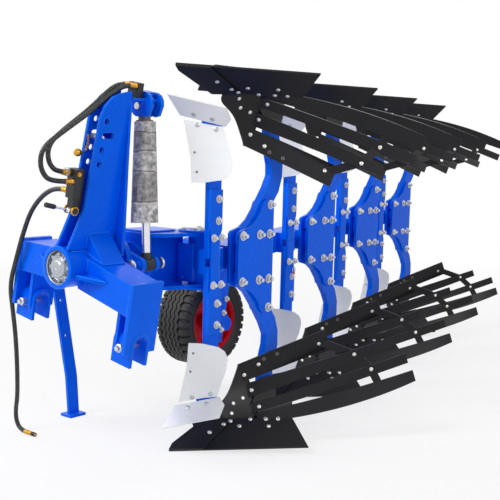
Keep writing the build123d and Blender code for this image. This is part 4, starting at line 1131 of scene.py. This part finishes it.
class PLOUGH_OT_stage(bpy.types.Operator):
    """Sets up the camera, the soft lights and the pale floor"""
    bl_idname = "plough.stage"
    bl_label = "Stage"
    camera_place = (3.332, -4.802, 1.429)
    camera_angles = (39.86, 6.22, 1.48)
    lens = 70.18
    lit_point = Vector((0, 0, 0.8))
    lamps = (((-0.8, -7.6, 6.5), 3.0, 430), ((7.5, -1.5, 4.5), 3.5, 150),
             ((-5.5, -3.5, 4.0), 4.0, 110), ((0.0, 5.5, 6.0), 4.0, 150))

    def execute(self, context):
        scene = context.scene
        scene.view_settings.view_transform = "Standard"
        self.camera(scene)
        for spot, size, power in self.lamps:
            bpy.ops.object.light_add(type="AREA", location=spot)
            lamp = context.object
            lamp.data.size, lamp.data.energy = size, power
            lamp.rotation_mode = "QUATERNION"
            lamp.rotation_quaternion = (self.lit_point - Vector(spot)).to_track_quat("-Z", "Y")
        self.backdrop(scene)
        self.floor()
        return {"FINISHED"}

    def camera(self, scene):
        """Looks down a little at the plough from its left front, rolled slightly."""
        turn, dip, roll = (math.radians(angle) for angle in self.camera_angles)
        ahead = Vector((-math.sin(turn) * math.cos(dip), math.cos(turn) * math.cos(dip), -math.sin(dip)))
        level = Vector((math.cos(turn), math.sin(turn), 0))
        upright = level.cross(ahead)
        across = level * math.cos(roll) + upright * math.sin(roll)
        upward = upright * math.cos(roll) - level * math.sin(roll)
        bpy.ops.object.camera_add()
        camera = bpy.context.object
        camera.matrix_world = (Matrix.Translation(self.camera_place)
                               @ Matrix((across, upward, -ahead)).transposed().to_4x4())
        camera.data.lens = self.lens
        camera.data.sensor_width = 36
        camera.data.clip_end = 200
        scene.camera = camera

    def backdrop(self, scene):
        """A world that lights softly and shows white."""
        world = bpy.data.worlds.new("studio_white")
        world.use_nodes = True
        scene.world = world
        world.node_tree.nodes.clear()
        soft = node(world, "ShaderNodeBackground", values={"Color": (1, 1, 1, 1), "Strength": 0.32})
        white = node(world, "ShaderNodeBackground", values={"Color": (1, 1, 1, 1), "Strength": 1.0})
        both = node(world, "ShaderNodeMixShader",
                    links={0: self.shown(world), 1: soft.outputs[0], 2: white.outputs[0]})
        node(world, "ShaderNodeOutputWorld", links={"Surface": both.outputs[0]})

    def floor(self):
        """A matt pale floor that keeps the shadow near the plough and turns white far out."""
        bpy.ops.mesh.primitive_plane_add(size=120, location=(0, 0, 0))
        floor = bpy.context.object
        floor.name = floor.data.name = "studio_floor"
        material, where = finish("matt_white_floor")
        distance = node(material, "ShaderNodeVectorMath", {"operation": "LENGTH"}, links={0: where})
        far = node(material, "ShaderNodeMapRange", values={1: 2.2, 2: 7.0},
                   links={0: distance.outputs["Value"]})
        matt = node(material, "ShaderNodeBsdfDiffuse", values={"Color": (0.93, 0.93, 0.93, 1)})
        glow = node(material, "ShaderNodeEmission", values={"Color": (1, 1, 1, 1), "Strength": 1.0})
        share = node(material, "ShaderNodeMapRange", values={3: 0.72, 4: 1.0}, links={0: far.outputs[0]})
        amount = node(material, "ShaderNodeMath", {"operation": "MULTIPLY"},
                      links={0: share.outputs[0], 1: self.shown(material)})
        both = node(material, "ShaderNodeMixShader",
                    links={0: amount.outputs[0], 1: matt.outputs[0], 2: glow.outputs[0]})
        floor.data.materials.append(surface(material, both))

    def shown(self, owner):
        """1 on the rays that show the white background: from the camera, off metal and through glass."""
        path = node(owner, "ShaderNodeLightPath")
        seen = node(owner, "ShaderNodeMath", {"operation": "MAXIMUM"},
                    links={0: path.outputs["Is Camera Ray"], 1: path.outputs["Is Glossy Ray"]})
        return node(owner, "ShaderNodeMath", {"operation": "MAXIMUM"},
                    links={0: seen.outputs[0], 1: path.outputs["Is Transmission Ray"]}).outputs[0]


STEPS = (PLOUGH_OT_stage, PLOUGH_OT_hoses, PLOUGH_OT_tyre, PLOUGH_OT_wheel_trim, PLOUGH_OT_plough_bolts,
         PLOUGH_OT_skimmer_bolts, PLOUGH_OT_leg_bolts, PLOUGH_OT_packing, PLOUGH_OT_turnover_hub,
         PLOUGH_OT_headstock_trim, PLOUGH_OT_swivel_trim, PLOUGH_OT_beam_trim, PLOUGH_OT_welds,
         PLOUGH_OT_frame_finishes)


class PLOUGH_PT_panel(bpy.types.Panel):
    """Lists the plough's pieces, sizes and colours"""
    bl_idname = "PLOUGH_PT_panel"
    bl_label = "Reversible Plough"
    bl_space_type = "VIEW_3D"
    bl_region_type = "UI"
    bl_category = "Plough"

    def draw(self, context):
        layout = self.layout
        for group in (context.scene.plough_sizes, context.scene.plough_colours):
            column = layout.column()
            for name in group.__annotations__:
                column.prop(group, name)
        for step in STEPS:
            layout.operator(step.bl_idname)


CLASSES = (PloughSizes, PloughColours, *STEPS, PLOUGH_PT_panel)


def register():
    for item in CLASSES:
        bpy.utils.register_class(item)
    bpy.types.Scene.plough_sizes = bpy.props.PointerProperty(type=PloughSizes)
    bpy.types.Scene.plough_colours = bpy.props.PointerProperty(type=PloughColours)


def unregister():
    del bpy.types.Scene.plough_colours
    del bpy.types.Scene.plough_sizes
    for item in reversed(CLASSES):
        bpy.utils.unregister_class(item)


def main():
    """Builds every piece in order."""
    register()
    mix_finishes()
    for step in STEPS:
        group, name = step.bl_idname.split(".")
        getattr(getattr(bpy.ops, group), name)()


if __name__ == "__main__":
    main()
